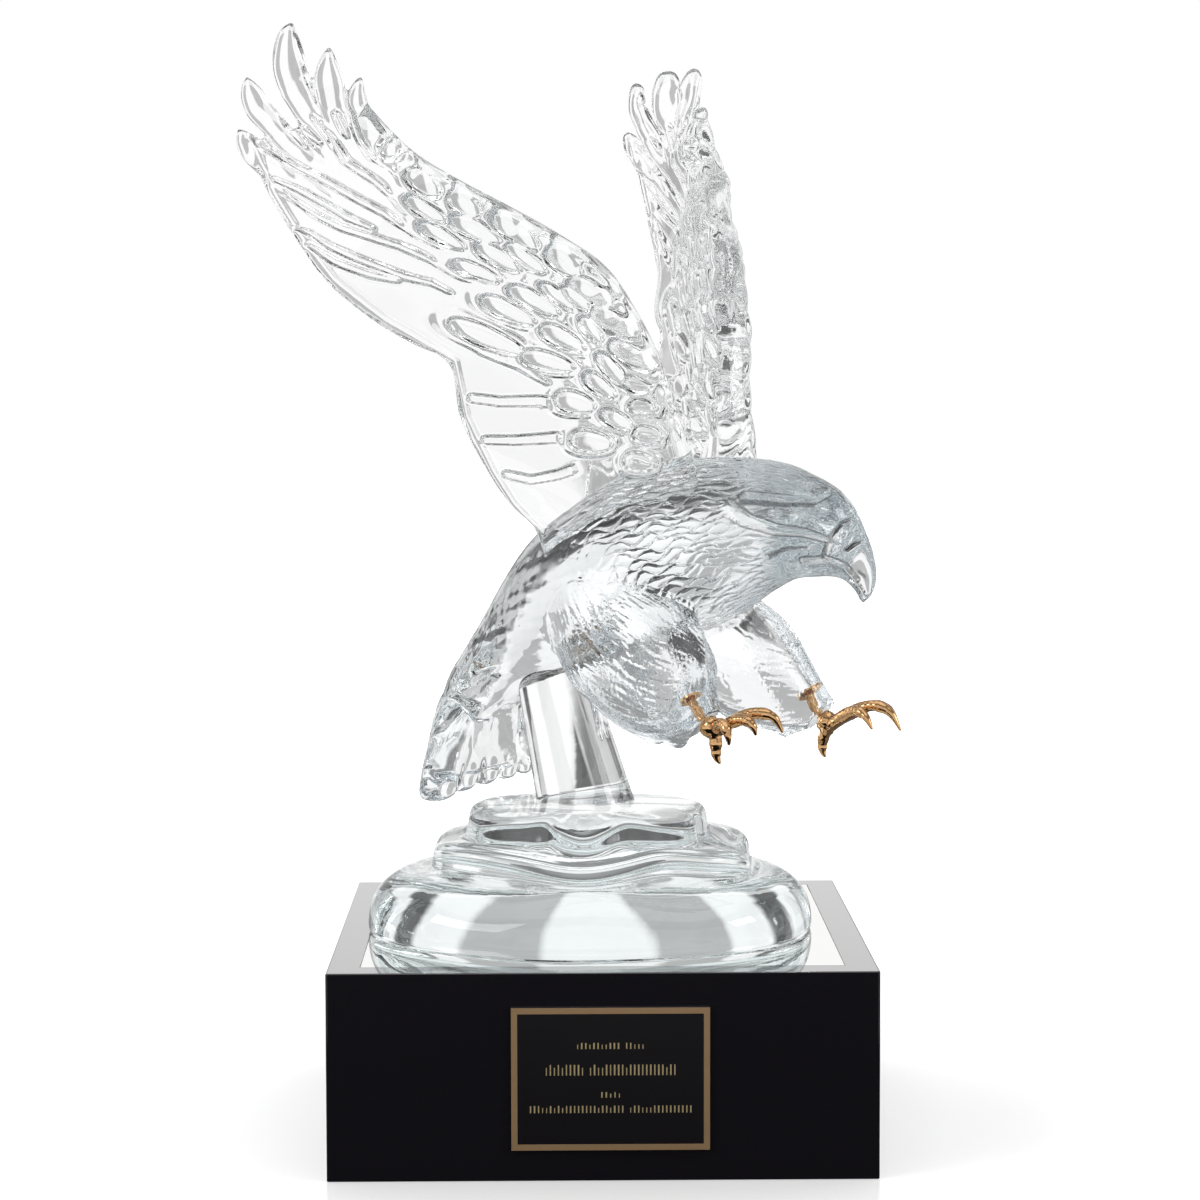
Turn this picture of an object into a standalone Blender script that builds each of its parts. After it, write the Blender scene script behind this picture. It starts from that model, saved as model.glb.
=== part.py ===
"""A glass eagle award: a cast glass eagle on a glass post and rock, on a black block with a mirror top.

Sizes below are in millimetres and MM turns them into metres. +Z is up, +X is to the viewer's right, the
viewer stands at -Y, and the origin is the middle of the block's underside.
"""
import math

import bmesh
import bpy
from mathutils import Vector

MM = 0.001
GAP = 0.3  # air left between two pieces that rest on or are cemented to each other
CUT_PAST = 5.0  # how far a cutter runs past the face that it opens

# The block, its mirror and the plate on its front
BLOCK_SIDE = 216.0
BLOCK_HEIGHT = 82.2
BLOCK_EDGE = 0.7
MIRROR_SIDE = 190.0
MIRROR_THICK = 1.5
PLATE_WIDTH = 77.4
PLATE_HEIGHT = 56.2
PLATE_THICK = 1.2
PLATE_CENTRE = (2.8, 40.6)  # to the right of the middle, above the underside

# The glass rock: three tiers, each with its own centre and half sizes in plan
ROCK_SIDES = 40
ROCK_FOOT_Z = BLOCK_HEIGHT + GAP
ROCK_HEIGHT = 49.7
ROCK_TOP_Z = ROCK_FOOT_Z + ROCK_HEIGHT
ROCK_WAVE_LIFT = 12.0  # how far a level rises and falls round the rock for each unit of its wave
SLAB = {"centre": (-3.7, -3.0), "half": (92.8, 81.5), "square": 2.25}
STEP = {"centre": (-2.6, 7.0), "half": (67.7, 54.0), "square": 2.7}
CROWN = {"centre": (-6.0, 6.0), "half": (50.6, 44.0), "square": 3.0}
ROCK_LEVELS = (  # tier, size of the level, height above the foot, wave of its edge, dip at the front
    (SLAB, 0.985, 0.0, 0.0, 0.0),
    (SLAB, 1.0, 5.0, 0.0, 0.0),
    (SLAB, 0.985, 12.0, 0.0, 0.0),
    (SLAB, 0.94, 18.0, 0.006, 0.0),
    (SLAB, 0.865, 22.5, 0.012, 0.0),
    (SLAB, 0.78, 24.5, 0.015, 0.0),
    (STEP, 1.01, 25.5, 0.03, 0.0),
    (STEP, 0.995, 33.0, 0.03, 0.0),
    (STEP, 0.94, 36.5, 0.03, 0.0),
    (CROWN, 1.03, 38.0, 0.045, 0.0),
    (CROWN, 0.99, 45.0, 0.045, 4.0),
    (CROWN, 0.92, 48.5, 0.045, 5.0),
    (CROWN, 0.72, ROCK_HEIGHT, 0.0, 0.0),
)

# The glass post, which leans back from its foot into the bird's belly
POST_FOOT = (-5.5, 20.0, ROCK_TOP_Z + GAP)
POST_HEAD = (-21.5, 29.0, 196.0)
POST_FOOT_RADIUS = 21.0
POST_HEAD_RADIUS = 15.5
POST_SIDES = 22

# The bird stands in its own frame: along its heading, to its left, and up
BIRD_AT = (53.0, -12.0)
BIRD_HEADING = math.radians(-30.0)
HEAD_TURN = math.radians(18.0)
NECK_START = 10.0
NECK_LENGTH = 45.0

# Sections of the body from the rump to the beak's tip: the upper point (along the midline, up), the
# lower point, and half the width between the flanks
BODY_SECTIONS = (
    (-134.0, 168.0, -110.0, 168.0, 23.0),
    (-126.0, 187.0, -97.0, 175.0, 27.5),
    (-113.5, 206.0, -83.0, 184.0, 29.5),
    (-89.0, 243.0, -47.0, 193.5, 33.0),
    (-55.0, 268.5, -17.0, 205.0, 35.0),
    (-33.0, 275.5, -2.0, 211.0, 34.5),
    (-13.0, 278.0, 10.0, 218.0, 32.0),
    (6.0, 278.5, 21.0, 225.0, 27.5),
    (23.0, 277.0, 32.0, 229.5, 22.5),
    (38.0, 272.5, 41.6, 230.5, 18.0),
    (49.0, 266.5, 47.0, 230.6, 14.0),
    (55.5, 259.5, 51.0, 229.5, 9.8),
    (60.0, 250.0, 54.5, 226.6, 7.2),
    (63.6, 240.0, 56.6, 224.0, 5.4),
    (64.8, 230.0, 57.6, 221.6, 3.6),
    (62.6, 222.6, 58.4, 219.6, 1.4),
)
BODY_RINGS = 26
BODY_SIDES = 20
BODY_SQUARE = 2.15
BROW = (  # the ridge over an eye: along the midline, out to the side, up, half height, half width
    (24.0, 17.5, 262.0, 2.0, 2.5),
    (34.0, 16.0, 262.5, 3.2, 4.0),
    (43.0, 12.8, 259.5, 3.2, 3.6),
    (51.0, 9.0, 255.0, 1.6, 1.8),
)
BROW_RINGS = 6
BROW_SIDES = 6

# The tail: a short wedge, and lobes that get narrower from the right side to the left
TAIL_SECTIONS = (
    (-122.0, 190.0, -98.0, 180.0, 21.0),
    (-131.0, 171.0, -107.0, 170.0, 26.0),
    (-132.0, 155.0, -113.0, 155.0, 32.0),
    (-129.0, 142.0, -117.0, 142.0, 38.0),
)
TAIL_RINGS = 6
TAIL_SIDES = 18
TAIL_SQUARE = 3.0
LOBES = 5
LOBE_RINGS = 7
LOBE_SIDES = 8
LOBE_SQUARE = 2.4
LOBE_RIGHT_EDGE = -45.0
LOBE_WIDTH = 26.0
LOBE_WIDTH_LOSS = 4.4
LOBE_THICK = 14.0
LOBE_TIP_Z = 131.0
LOBE_TIP_RISE = 0.9

# The thighs: how far to the side, the front point (along, up), the rear point, and half the thickness
RIGHT_THIGH = (
    (-18.0, -52.0, 238.0, -72.0, 206.0, 17.0),
    (-25.0, -27.0, 230.0, -58.0, 186.5, 19.0),
    (-29.0, -6.0, 220.5, -45.0, 177.0, 18.5),
    (-33.0, 4.0, 208.0, -31.0, 169.0, 16.5),
    (-36.0, 11.0, 198.0, -18.0, 165.0, 14.0),
    (-38.0, 13.0, 187.0, -7.0, 165.0, 10.5),
    (-40.0, 16.0, 178.5, 5.0, 167.5, 7.0),
)
LEFT_THIGH = (
    (18.0, -40.0, 236.0, -60.0, 205.0, 17.0),
    (25.0, -15.0, 228.0, -45.0, 186.0, 19.0),
    (30.0, -2.0, 218.0, -29.0, 177.0, 18.5),
    (33.5, 11.0, 207.0, -12.0, 165.5, 16.0),
    (37.0, 21.0, 189.5, 4.0, 162.0, 11.5),
    (40.0, 30.0, 174.5, 18.0, 162.0, 6.5),
)
THIGH_RINGS = 9
THIGH_SIDES = 12
THIGH_SQUARE = 2.3
TUFTS = 4
TUFT_PLACES = (0.3, 0.8)  # the first and the last lock, as shares of the thigh's length
TUFT_DEPTH = 10.0
TUFT_LENGTH = 10.0
TUFT_SWEEP = (3.15, 0.0, -2.25)
TUFT_WIDTH = 13.0
TUFT_THICK_SHARE = 0.6
TUFT_STEPS = ((0.0, 0.9), (0.6, 1.0), (1.0, 0.3))  # place along a lock, and its width there
TUFT_SIDES = 6

# The wings: each lies on a gently bowed plane through its root, leaning out and back. A place on it is
# given by how far it is outwards, how far up, and how far inwards through the glass.
WING_ROOT = (-2.7, 22.0, 275.9)  # along, to the side, up
WING_SWEEP = math.radians(37.0)
WING_LEAN = math.radians(15.0)
WING_BOW = ((0.0, -8.0), (40.0, 1.0), (85.0, 5.0), (120.0, 2.0), (165.0, -6.0), (205.0, 0.0), (240.0, 3.0))
WING_CURL = 11.0  # how far the rear fingers curl inwards at their tips
WING_HUG = 16.0  # how far the wing's lower rear hugs the flank
LEFT_WING_LIFT = 0.09
LEFT_FINGER_TRIM = {"first": 12.0, "third": 7.0, "fourth": -4.0}
WING_SECTIONS = (  # leading edge (out, up), trailing edge (out, up), thickness at the leading edge
    (-4.0, -22.0, 56.0, -56.0, 21.0),
    (-2.0, -10.0, 62.0, -36.0, 22.0),
    (1.0, 4.0, 73.0, -24.0, 22.0),
    (7.0, 22.0, 83.0, -8.0, 21.5),
    (15.0, 43.0, 96.0, 18.0, 20.5),
    (25.0, 62.0, 101.5, 42.0, 19.5),
    (38.0, 80.0, 116.0, 51.0, 18.5),
    (58.0, 94.0, 130.0, 60.0, 17.5),
    (79.0, 106.0, 150.0, 77.0, 16.5),
    (100.0, 118.0, 163.0, 94.0, 15.0),
    (116.0, 128.0, 173.0, 110.0, 13.5),
    (127.0, 138.0, 178.0, 121.0, 12.5),
    (135.0, 147.0, 181.0, 130.0, 11.5),
)
WING_RINGS = 13
TRAILING_THICK = 5.0
COVERT_RISE = 2.6
COVERT_DEPTH = 2.0
COVERT_SLANT = 1.1  # how far the coverts turn from the leading edge towards the trailing edge
TONGUE_RISE = 2.2
TONGUE_DEPTH = 2.5
TONGUE_RINGS = 4
FINGER_RISE = 0.8
FINGER_RINGS = 5
FEATHER_EDGE_DROP = 0.1
SEARCH_STEPS = 48  # steps along the span when a place's own section is looked for

# Flight feathers: the centre line from the tip inwards (out, up), the widths along it, and the thickness
FINGERS = {
    "third": (((138, 158.5), (139.5, 151), (138.5, 144), (134, 134), (124, 123)), (3.5, 7, 8.5, 9, 8), 6.0),
    "second": (((150, 169.5), (150.5, 161), (150, 154.5), (147.5, 141), (142, 131), (131, 118)),
               (4, 8.5, 11.5, 11.5, 11, 9), 7.0),
    "first": (((164, 177), (165.5, 170), (165, 160), (163, 153), (159, 145), (152, 133), (140, 120)),
              (4.5, 9, 13.5, 14, 12, 11, 9), 7.0),
    "fourth": (((181.5, 155.5), (180, 149), (177, 142.5), (171, 136), (163, 128), (150, 117)),
               (4, 8.5, 10.5, 10.5, 10, 9), 6.5),
    "fifth": (((185.5, 135), (182, 130), (178, 125.5), (171, 120.5), (160, 112.5), (145, 102)),
              (4, 8.5, 10.5, 11, 10.5, 9), 6.0),
}
TONGUES = (  # the lower flight feathers, from the trailing edge inwards, and their widths
    (((174, 112), (161, 102.5), (145, 93), (124, 82)), 11.0),
    (((163, 93), (146, 84), (127, 75), (108, 66)), 11.5),
    (((146, 74), (126, 65), (108, 57)), 11.0),
    (((100, 47), (88, 39), (70, 33)), 13.0),
    (((98, 29), (84, 23), (62, 20)), 13.0),
    (((90, 8), (76, 2), (54, 2)), 12.0),
    (((80, -12), (66, -17), (46, -10)), 12.0),
)
COVERT_ROWS = (  # how far back along the chord, first and last place along the span, how many
    (0.14, 0.12, 0.86, 6),
    (0.27, 0.10, 0.82, 6),
    (0.40, 0.12, 0.74, 5),
    (0.53, 0.13, 0.60, 4),
)
COVERT_LENGTH = 18.0
COVERT_WIDTH = 12.0

# The feet, measured from the ankle: along the heading, to the left, and up
RIGHT_ANKLE = (10.5, -40.0, 172.5)
LEFT_ANKLE = (24.0, 40.0, 166.0)
RIGHT_TOES = {
    "hind": (((5, -1, -3), (5.5, -1, -6.5), (5.5, -1, -10), (6, -1, -13), (7.5, -1, -15.5)),
             (6, 5.4, 4.6, 3.8, 1.2)),
    "inner": (((5, 1, -2), (12, 4, 2), (20, 6, 5), (27, 8, 3.5), (30.5, 9, -2.5)), (6, 5.4, 5.2, 4.2, 1.2)),
    "middle": (((5, 0, -2), (12, 0, 1.5), (18, -1, 3), (22.5, -2, 1), (24, -2, -3)), (6, 5.4, 5, 4, 1.2)),
    "outer": (((5, -1, -2), (8.5, -4, 1), (12, -6, 0.5), (14, -7, -3), (14.5, -7, -7)),
              (6, 5, 4.8, 3.8, 1.2)),
}
LEFT_TOES = {
    "hind": (((3, 1, -3), (1.5, 1, -6), (0.8, 1, -9.5), (1, 1, -12.5), (2.2, 1, -15)), (6, 5, 4.4, 3.6, 1.2)),
    "inner": (((3, 0, -2), (11, -1, 3), (18, -3, 6), (23.5, -5, 4), (27, -6, -1)), (6, 5.6, 5, 4, 1.2)),
    "middle": (((3, 0, -2), (13, 1, 4), (23, 2, 8), (31, 3, 5.5), (36, 3, -2)), (6, 5.8, 5, 4.2, 1.2)),
    "outer": (((3, 1, -2), (12, 3, 3.5), (20, 6, 7.5), (27.5, 9, 6.5), (32, 10, 0)), (6, 5.6, 5, 4, 1.2)),
}
TOE_SIDES = 6
TOE_RINGS = 6
KNUCKLE_SIDES = 10
KNUCKLE = ((GAP, 3.2), (GAP + 1.2, 4.4), (4.5, 4.6), (7.5, 3.0))  # depth below the cut end, and radius


def clamp(value, low=0.0, high=1.0):
    return min(max(value, low), high)


def between(rows, place):
    """The row of values at a place from 0 to 1 along a smooth curve through the rows."""
    last = len(rows) - 1
    at = clamp(place) * last
    i = min(int(at), last - 1)
    f = at - i
    four = (rows[max(i - 1, 0)], rows[i], rows[i + 1], rows[min(i + 2, last)])
    return tuple(
        0.5 * (2 * q + (r - p) * f + (2 * p - 5 * q + 4 * r - s) * f ** 2 + (3 * q - p - 3 * r + s) * f ** 3)
        for p, q, r, s in zip(*four))


def lookup(table, x):
    """The value at x in a table of (x, value) rows, joined by smooth steps."""
    for (x0, y0), (x1, y1) in zip(table, table[1:]):
        if x <= x1:
            f = clamp((x - x0) / (x1 - x0))
            return y0 + (y1 - y0) * f * f * (3 - 2 * f)
    return table[-1][1]


def material(name, colour, roughness, metallic=0.0, transmission=0.0):
    made = bpy.data.materials.new(name)
    made.use_nodes = True
    shader = made.node_tree.nodes["Principled BSDF"]
    shader.inputs["Base Color"].default_value = (*colour, 1.0)
    shader.inputs["Roughness"].default_value = roughness
    shader.inputs["Metallic"].default_value = metallic
    shader.inputs["Transmission Weight"].default_value = transmission
    return made


def add_object(name, mesh, finish=None, smooth=True):
    """Turn a bmesh in millimetres into an object in metres."""
    bmesh.ops.triangulate(mesh, faces=mesh.faces)
    bmesh.ops.recalc_face_normals(mesh, faces=mesh.faces)
    bmesh.ops.scale(mesh, vec=(MM, MM, MM), verts=mesh.verts)
    data = bpy.data.meshes.new(name)
    mesh.to_mesh(data)
    mesh.free()
    made = bpy.data.objects.new(name, data)
    bpy.context.scene.collection.objects.link(made)
    if finish:
        data.materials.append(finish)
    if smooth:
        data.shade_smooth()
        data.set_sharp_from_angle(angle=math.radians(40))
    return made


def add_loft(mesh, rings):
    """Add a closed skin through rings of equally many points, with a flat cap at both ends."""
    loops = [[mesh.verts.new(point) for point in ring] for ring in rings]
    count = len(loops[0])
    for one, two in zip(loops, loops[1:]):
        for i in range(count):
            j = (i + 1) % count
            mesh.faces.new((one[i], one[j], two[j], two[i]))
    mesh.faces.new(loops[0])
    mesh.faces.new(loops[-1])


def loft(name, rings, finish=None):
    mesh = bmesh.new()
    add_loft(mesh, rings)
    return add_object(name, mesh, finish)


def oval(centre, up, side, count, square=2.0):
    """Points of a ring round a centre; a square above 2 makes its corners fuller."""
    ring = []
    for i in range(count):
        turn = 2 * math.pi * i / count
        c, s = math.cos(turn), math.sin(turn)
        reach = (abs(c) ** square + abs(s) ** square) ** (-1 / square)
        ring.append(centre + up * (c * reach) + side * (s * reach))
    return ring


def box(name, low, high, finish=None):
    mesh = bmesh.new()
    bmesh.ops.create_cube(mesh, size=1.0)
    size = [h - l for l, h in zip(low, high)]
    middle = [(l + h) / 2 for l, h in zip(low, high)]
    bmesh.ops.scale(mesh, vec=size, verts=mesh.verts)
    bmesh.ops.translate(mesh, vec=middle, verts=mesh.verts)
    return add_object(name, mesh, finish, smooth=False)


def boolean(target, tools, operation):
    """Cut or join one object with others, which are then only guides."""
    step = target.modifiers.new(operation.lower(), "BOOLEAN")
    step.operation = operation
    step.solver = "EXACT"
    step.operand_type = "COLLECTION"
    step.collection = bpy.data.collections.new(f"{target.name} {operation.lower()}")
    for tool in tools:
        step.collection.objects.link(tool)
        tool.hide_render = True
        tool.display_type = "WIRE"


def build_block(black, mirror, plate):
    half = BLOCK_SIDE / 2
    block = box("plinth_block", (-half, -half, 0), (half, half, BLOCK_HEIGHT), black)
    soften = block.modifiers.new("softened edges", "BEVEL")
    soften.width = BLOCK_EDGE * MM
    soften.segments = 2
    inner = MIRROR_SIDE / 2
    floor_z = BLOCK_HEIGHT - MIRROR_THICK
    recess = box("mirror recess", (-inner - GAP, -inner - GAP, floor_z - GAP),
                 (inner + GAP, inner + GAP, BLOCK_HEIGHT + CUT_PAST))
    boolean(block, [recess], "DIFFERENCE")
    box("mirror_inset", (-inner, -inner, floor_z), (inner, inner, BLOCK_HEIGHT), mirror)
    x, z = PLATE_CENTRE
    back = -half - GAP
    box("name_plate", (x - PLATE_WIDTH / 2, back - PLATE_THICK, z - PLATE_HEIGHT / 2),
        (x + PLATE_WIDTH / 2, back, z + PLATE_HEIGHT / 2), plate)


def rock_ring(tier, scale, height, wave, dip):
    """One level of the rock: a rounded rectangle in plan whose edge swells and pinches."""
    ring = []
    (cx, cy), (hx, hy), square = tier["centre"], tier["half"], tier["square"]
    for i in range(ROCK_SIDES):
        turn = 2 * math.pi * i / ROCK_SIDES
        c, s = math.cos(turn), math.sin(turn)
        reach = scale * (abs(c) ** square + abs(s) ** square) ** (-1 / square)
        reach *= 1 + wave * (math.cos(5 * turn + 0.5) + 0.5 * math.sin(3 * turn))
        front = max(0.0, -s) ** 6
        level = ROCK_FOOT_Z + height - dip * front + wave * ROCK_WAVE_LIFT * math.sin(4 * turn + 1.0)
        ring.append((cx + hx * reach * c, cy + hy * reach * s, level))
    return ring


def build_rock(glass):
    return loft("glass_base", [rock_ring(*level) for level in ROCK_LEVELS], glass)


def build_post(glass):
    foot, head = Vector(POST_FOOT), Vector(POST_HEAD)
    across, deep = Vector((1, 0, 0)), Vector((0, 1, 0))
    rings = [oval(foot, across * POST_FOOT_RADIUS, deep * POST_FOOT_RADIUS, POST_SIDES),
             oval(head, across * POST_HEAD_RADIUS, deep * POST_HEAD_RADIUS, POST_SIDES)]
    return loft("support_post", rings, glass)


def midline(along):
    """Where a length along the bird's middle lies, and the direction to its left there."""
    if along <= NECK_START:
        return Vector((along, 0, 0)), Vector((0, 1, 0))
    rate = HEAD_TURN / NECK_LENGTH
    turned = min(along - NECK_START, NECK_LENGTH)
    angle = rate * turned
    ahead = Vector((math.cos(angle), math.sin(angle), 0))
    start = Vector((NECK_START + math.sin(angle) / rate, (1 - math.cos(angle)) / rate, 0))
    place = start + ahead * (along - NECK_START - turned)
    return place, Vector((-ahead.y, ahead.x, 0))


def trunk_ring(section, grow, count, square):
    """A ring round the trunk between its upper and lower point."""
    top_along, top_z, low_along, low_z, half_width = section
    top, _ = midline(top_along)
    low, _ = midline(low_along)
    top.z, low.z = top_z, low_z
    _, left = midline((top_along + low_along) / 2)
    up = (top - low) / 2
    up += up.normalized() * grow
    return oval((top + low) / 2, up, left * (half_width + grow), count, square)


def trunk(name, grow=0.0, finish=None):
    rings = [trunk_ring(between(BODY_SECTIONS, i / (BODY_RINGS - 1)), grow, BODY_SIDES, BODY_SQUARE)
             for i in range(BODY_RINGS)]
    return loft(name, rings, finish)


def tail_lobes():
    """The tail's wedge and its lobes, each a flat tongue with a round end."""
    wedge = [trunk_ring(between(TAIL_SECTIONS, i / (TAIL_RINGS - 1)), 0.0, TAIL_SIDES, TAIL_SQUARE)
             for i in range(TAIL_RINGS)]
    parts = [loft("tail wedge", wedge)]
    edge = LOBE_RIGHT_EDGE
    for number in range(LOBES):
        width = LOBE_WIDTH - LOBE_WIDTH_LOSS * number
        side = edge + width / 2
        edge += width
        tip_z = LOBE_TIP_Z + LOBE_TIP_RISE * number
        rows = (  # along, to the side, up, half width, half thickness, how far the fan's sides come forward
            (-115.0, 0.42 * side, 184.0, 0.26 * width, 0.5 * LOBE_THICK, 0.0),
            (-122.5, 0.66 * side, 166.0, 0.40 * width, 0.56 * LOBE_THICK, 0.008),
            (-125.0, 0.86 * side, 149.0, 0.50 * width, 0.48 * LOBE_THICK, 0.006),
            (-125.0, side, tip_z + 5.0, 0.50 * width, 0.36 * LOBE_THICK, 0.0036),
            (-125.0, side, tip_z, 0.25 * width, 0.2 * LOBE_THICK, 0.0036),
        )
        rings = []
        for i in range(LOBE_RINGS):
            along, out, up, half_width, half_thick, curve = between(rows, i / (LOBE_RINGS - 1))
            rings.append(oval(Vector((along + curve * out ** 2, out, up)), Vector((half_thick, 0, 0)),
                              Vector((0, half_width, 0)), LOBE_SIDES, LOBE_SQUARE))
        parts.append(loft(f"tail lobe {number + 1}", rings))
    return parts


def thigh(name, sections, grow=0.0):
    rings = []
    for i in range(THIGH_RINGS):
        side, front, front_z, rear, rear_z, half_thick = between(sections, i / (THIGH_RINGS - 1))
        fore, aft = Vector((front, side, front_z)), Vector((rear, side, rear_z))
        up = (fore - aft) / 2
        up += up.normalized() * grow
        half = Vector((0, half_thick + grow, 0))
        rings.append(oval((fore + aft) / 2, up, half, THIGH_SIDES, THIGH_SQUARE))
    return loft(name, rings)


def tufts(name, sections):
    """Pointed locks of feathers along the rear underside of a thigh."""
    parts = []
    first, last = TUFT_PLACES
    for number in range(TUFTS):
        place = first + (last - first) * number / (TUFTS - 1)
        side, front, front_z, rear, rear_z, half_thick = between(sections, place)
        down = Vector((rear - front, 0, rear_z - front_z)).normalized()
        root = Vector((rear, side, rear_z)) - down * TUFT_DEPTH
        wide = Vector((-down.z, 0, down.x)) * (TUFT_WIDTH / 2)
        thick = Vector((0, half_thick * TUFT_THICK_SHARE, 0))
        rings = [oval(root + (down * TUFT_LENGTH + Vector(TUFT_SWEEP)) * step, wide * swell, thick * swell,
                      TUFT_SIDES) for step, swell in TUFT_STEPS]
        parts.append(loft(f"{name} tuft {number + 1}", rings))
    return parts


def brow(name, mark):
    """The ridge over an eye; mark is 1 on the bird's left and -1 on its right."""
    rings = []
    for i in range(BROW_RINGS):
        along, out, up, half_height, half_width = between(BROW, i / (BROW_RINGS - 1))
        place, left = midline(along)
        centre = place + left * (out * mark) + Vector((0, 0, up))
        rings.append(oval(centre, Vector((0, 0, half_height)), left * half_width, BROW_SIDES))
    return loft(name, rings)


def build_body(glass):
    body = trunk("eagle_body", finish=glass)
    guides = tail_lobes()
    for name, sections in (("right thigh", RIGHT_THIGH), ("left thigh", LEFT_THIGH)):
        guides.append(thigh(name, sections))
        guides += tufts(name, sections)
    guides += [brow("left brow", 1), brow("right brow", -1)]
    boolean(body, guides, "UNION")
    return body, guides


def wing_bend(out, up):
    """How far the wing bows inwards at a place: it also hugs the flank low down at its rear."""
    hug = WING_HUG * clamp(out / 70, 0, 1.3) * clamp((45 - up) / 65, 0, 1.2) ** 2
    reach = math.hypot(out, up)
    curl = WING_CURL * lookup(((148.0, 0.0), (166.0, 1.0)), out) * lookup(((190.0, 0.0), (240.0, 1.0)), reach)
    return hug + lookup(WING_BOW, reach) + curl


def wing_point(out, up, inward, mark):
    """A place on a wing in the bird's frame; mark is 1 for the left wing and -1 for the right."""
    lean, sweep = WING_LEAN, WING_SWEEP
    normal = Vector((-math.sin(sweep) * math.cos(lean), math.cos(sweep) * math.cos(lean), math.sin(lean)))
    outward = Vector((0, 0, 1)).cross(normal).normalized()
    upward = normal.cross(outward)
    bend = wing_bend(out, up)
    if mark > 0:
        c, s = math.cos(LEFT_WING_LIFT), math.sin(LEFT_WING_LIFT)
        out, up = out * c - up * s, out * s + up * c
    along, side, height = WING_ROOT
    place = Vector((along, -side, height)) + outward * out + upward * up + normal * (bend + inward)
    place.y *= -mark
    return place


def chord_profile(chord, thick):
    """The wing's section as (back from the leading edge, inwards) pairs, round the outline."""
    thin = TRAILING_THICK
    round_off = 0.36 * thick
    return (
        (0.0, 0.52 * thick), (1.2, 0.86 * thick), (5.0, thick),
        (0.24 * chord, thin + 0.82 * (thick - thin)), (0.48 * chord, thin + 0.42 * (thick - thin)),
        (0.74 * chord, thin + 0.14 * (thick - thin)), (chord - 2.0, thin), (chord, 0.5 * thin),
        (chord - 2.0, 0.0), (0.5 * chord, 0.0), (round_off, 0.0), (0.28 * round_off, 0.3 * round_off),
    )


def wing_section(place):
    lead_out, lead_up, trail_out, trail_up, thick = between(WING_SECTIONS, place)
    lead, trail = Vector((lead_out, lead_up)), Vector((trail_out, trail_up))
    return lead, trail, (trail - lead).length, thick


def surface_height(place, share):
    """How thick the wing's plate is at a share of the chord."""
    _, _, chord, thick = wing_section(place)
    top = chord_profile(chord, thick)[1:7]
    back = share * chord
    for (x0, y0), (x1, y1) in zip(top, top[1:]):
        if back <= x1:
            return y0 + (y1 - y0) * clamp((back - x0) / (x1 - x0))
    return top[-1][1]


def plate_height(out, up):
    """How thick the wing's plate is at a place on it."""
    spot = Vector((out, up))
    best = (1e9, 0.0, 0.0)
    for i in range(SEARCH_STEPS + 1):
        place = i / SEARCH_STEPS
        lead, trail, chord, _ = wing_section(place)
        share = clamp((spot - lead).dot(trail - lead) / chord ** 2)
        miss = (lead.lerp(trail, share) - spot).length
        if miss < best[0]:
            best = (miss, place, share)
    return surface_height(best[1], best[2])


def trimmed(line, length):
    """The line pushed back along itself by a length."""
    back = (Vector(line[-1]) - Vector(line[0])).normalized() * length
    return [Vector(point) + back for point in line]


def feather(name, line, widths, rise, mark, thick=None):
    """A flight feather along its centre line: a low tongue on the plate, or a free finger if it has a thick."""
    mesh = bmesh.new()
    rings = []
    count = FINGER_RINGS if thick else TONGUE_RINGS
    for i in range(count):
        place = i / (count - 1)
        out, up = between(line, place)
        width = between([(w,) for w in widths], place)[0]
        ahead_out, ahead_up = between(line, clamp(place + 0.02))
        behind_out, behind_up = between(line, clamp(place - 0.02))
        along = Vector((ahead_out - behind_out, ahead_up - behind_up)).normalized()
        across = Vector((-along.y, along.x)) * (width / 2)
        top = thick if thick else plate_height(out, up) + rise
        bottom = 0.0 if thick else top - rise - TONGUE_DEPTH
        if thick and place > 0.5:
            top = max(top, plate_height(out, up) + rise)
        edge = (bottom + top) / 2 - FEATHER_EDGE_DROP
        outline = [(-1, edge), (-0.5, top), (0.5, top), (1, edge)]
        outline += [(0.55, bottom), (-0.55, bottom)] if thick else [(0, bottom)]
        rings.append([wing_point(out + across.x * k, up + across.y * k, h, mark) for k, h in outline])
    add_loft(mesh, rings)
    return add_object(name, mesh)


def coverts(name, row, mark):
    """A row of small covert feathers, each a low pad with a round outer end, as one guide."""
    mesh = bmesh.new()
    share, first, last, count = row
    for number in range(count):
        place = first + (last - first) * number / (count - 1)
        lead, trail, chord, _ = wing_section(place)
        spot = lead.lerp(trail, share)
        ahead = wing_section(clamp(place + 0.03))[0] - wing_section(clamp(place - 0.03))[0]
        along = (ahead.normalized() + (trail - lead).normalized() * COVERT_SLANT).normalized()
        across = Vector((-along.y, along.x))
        height = surface_height(place, share)
        pad = ((-0.5, 0.0), (-0.25, 0.42), (0.22, 0.5), (0.5, 0.0), (0.22, -0.5), (-0.25, -0.42))
        rings = []
        for shrink, level in ((1.15, height - COVERT_DEPTH), (0.6, height + COVERT_RISE)):
            ring = []
            for forward, aside in pad:
                flat = spot + along * (forward * COVERT_LENGTH * shrink)
                flat += across * (aside * COVERT_WIDTH * shrink)
                ring.append(wing_point(flat.x, flat.y, level, mark))
            rings.append(ring)
        add_loft(mesh, rings)
    return add_object(name, mesh)


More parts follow.
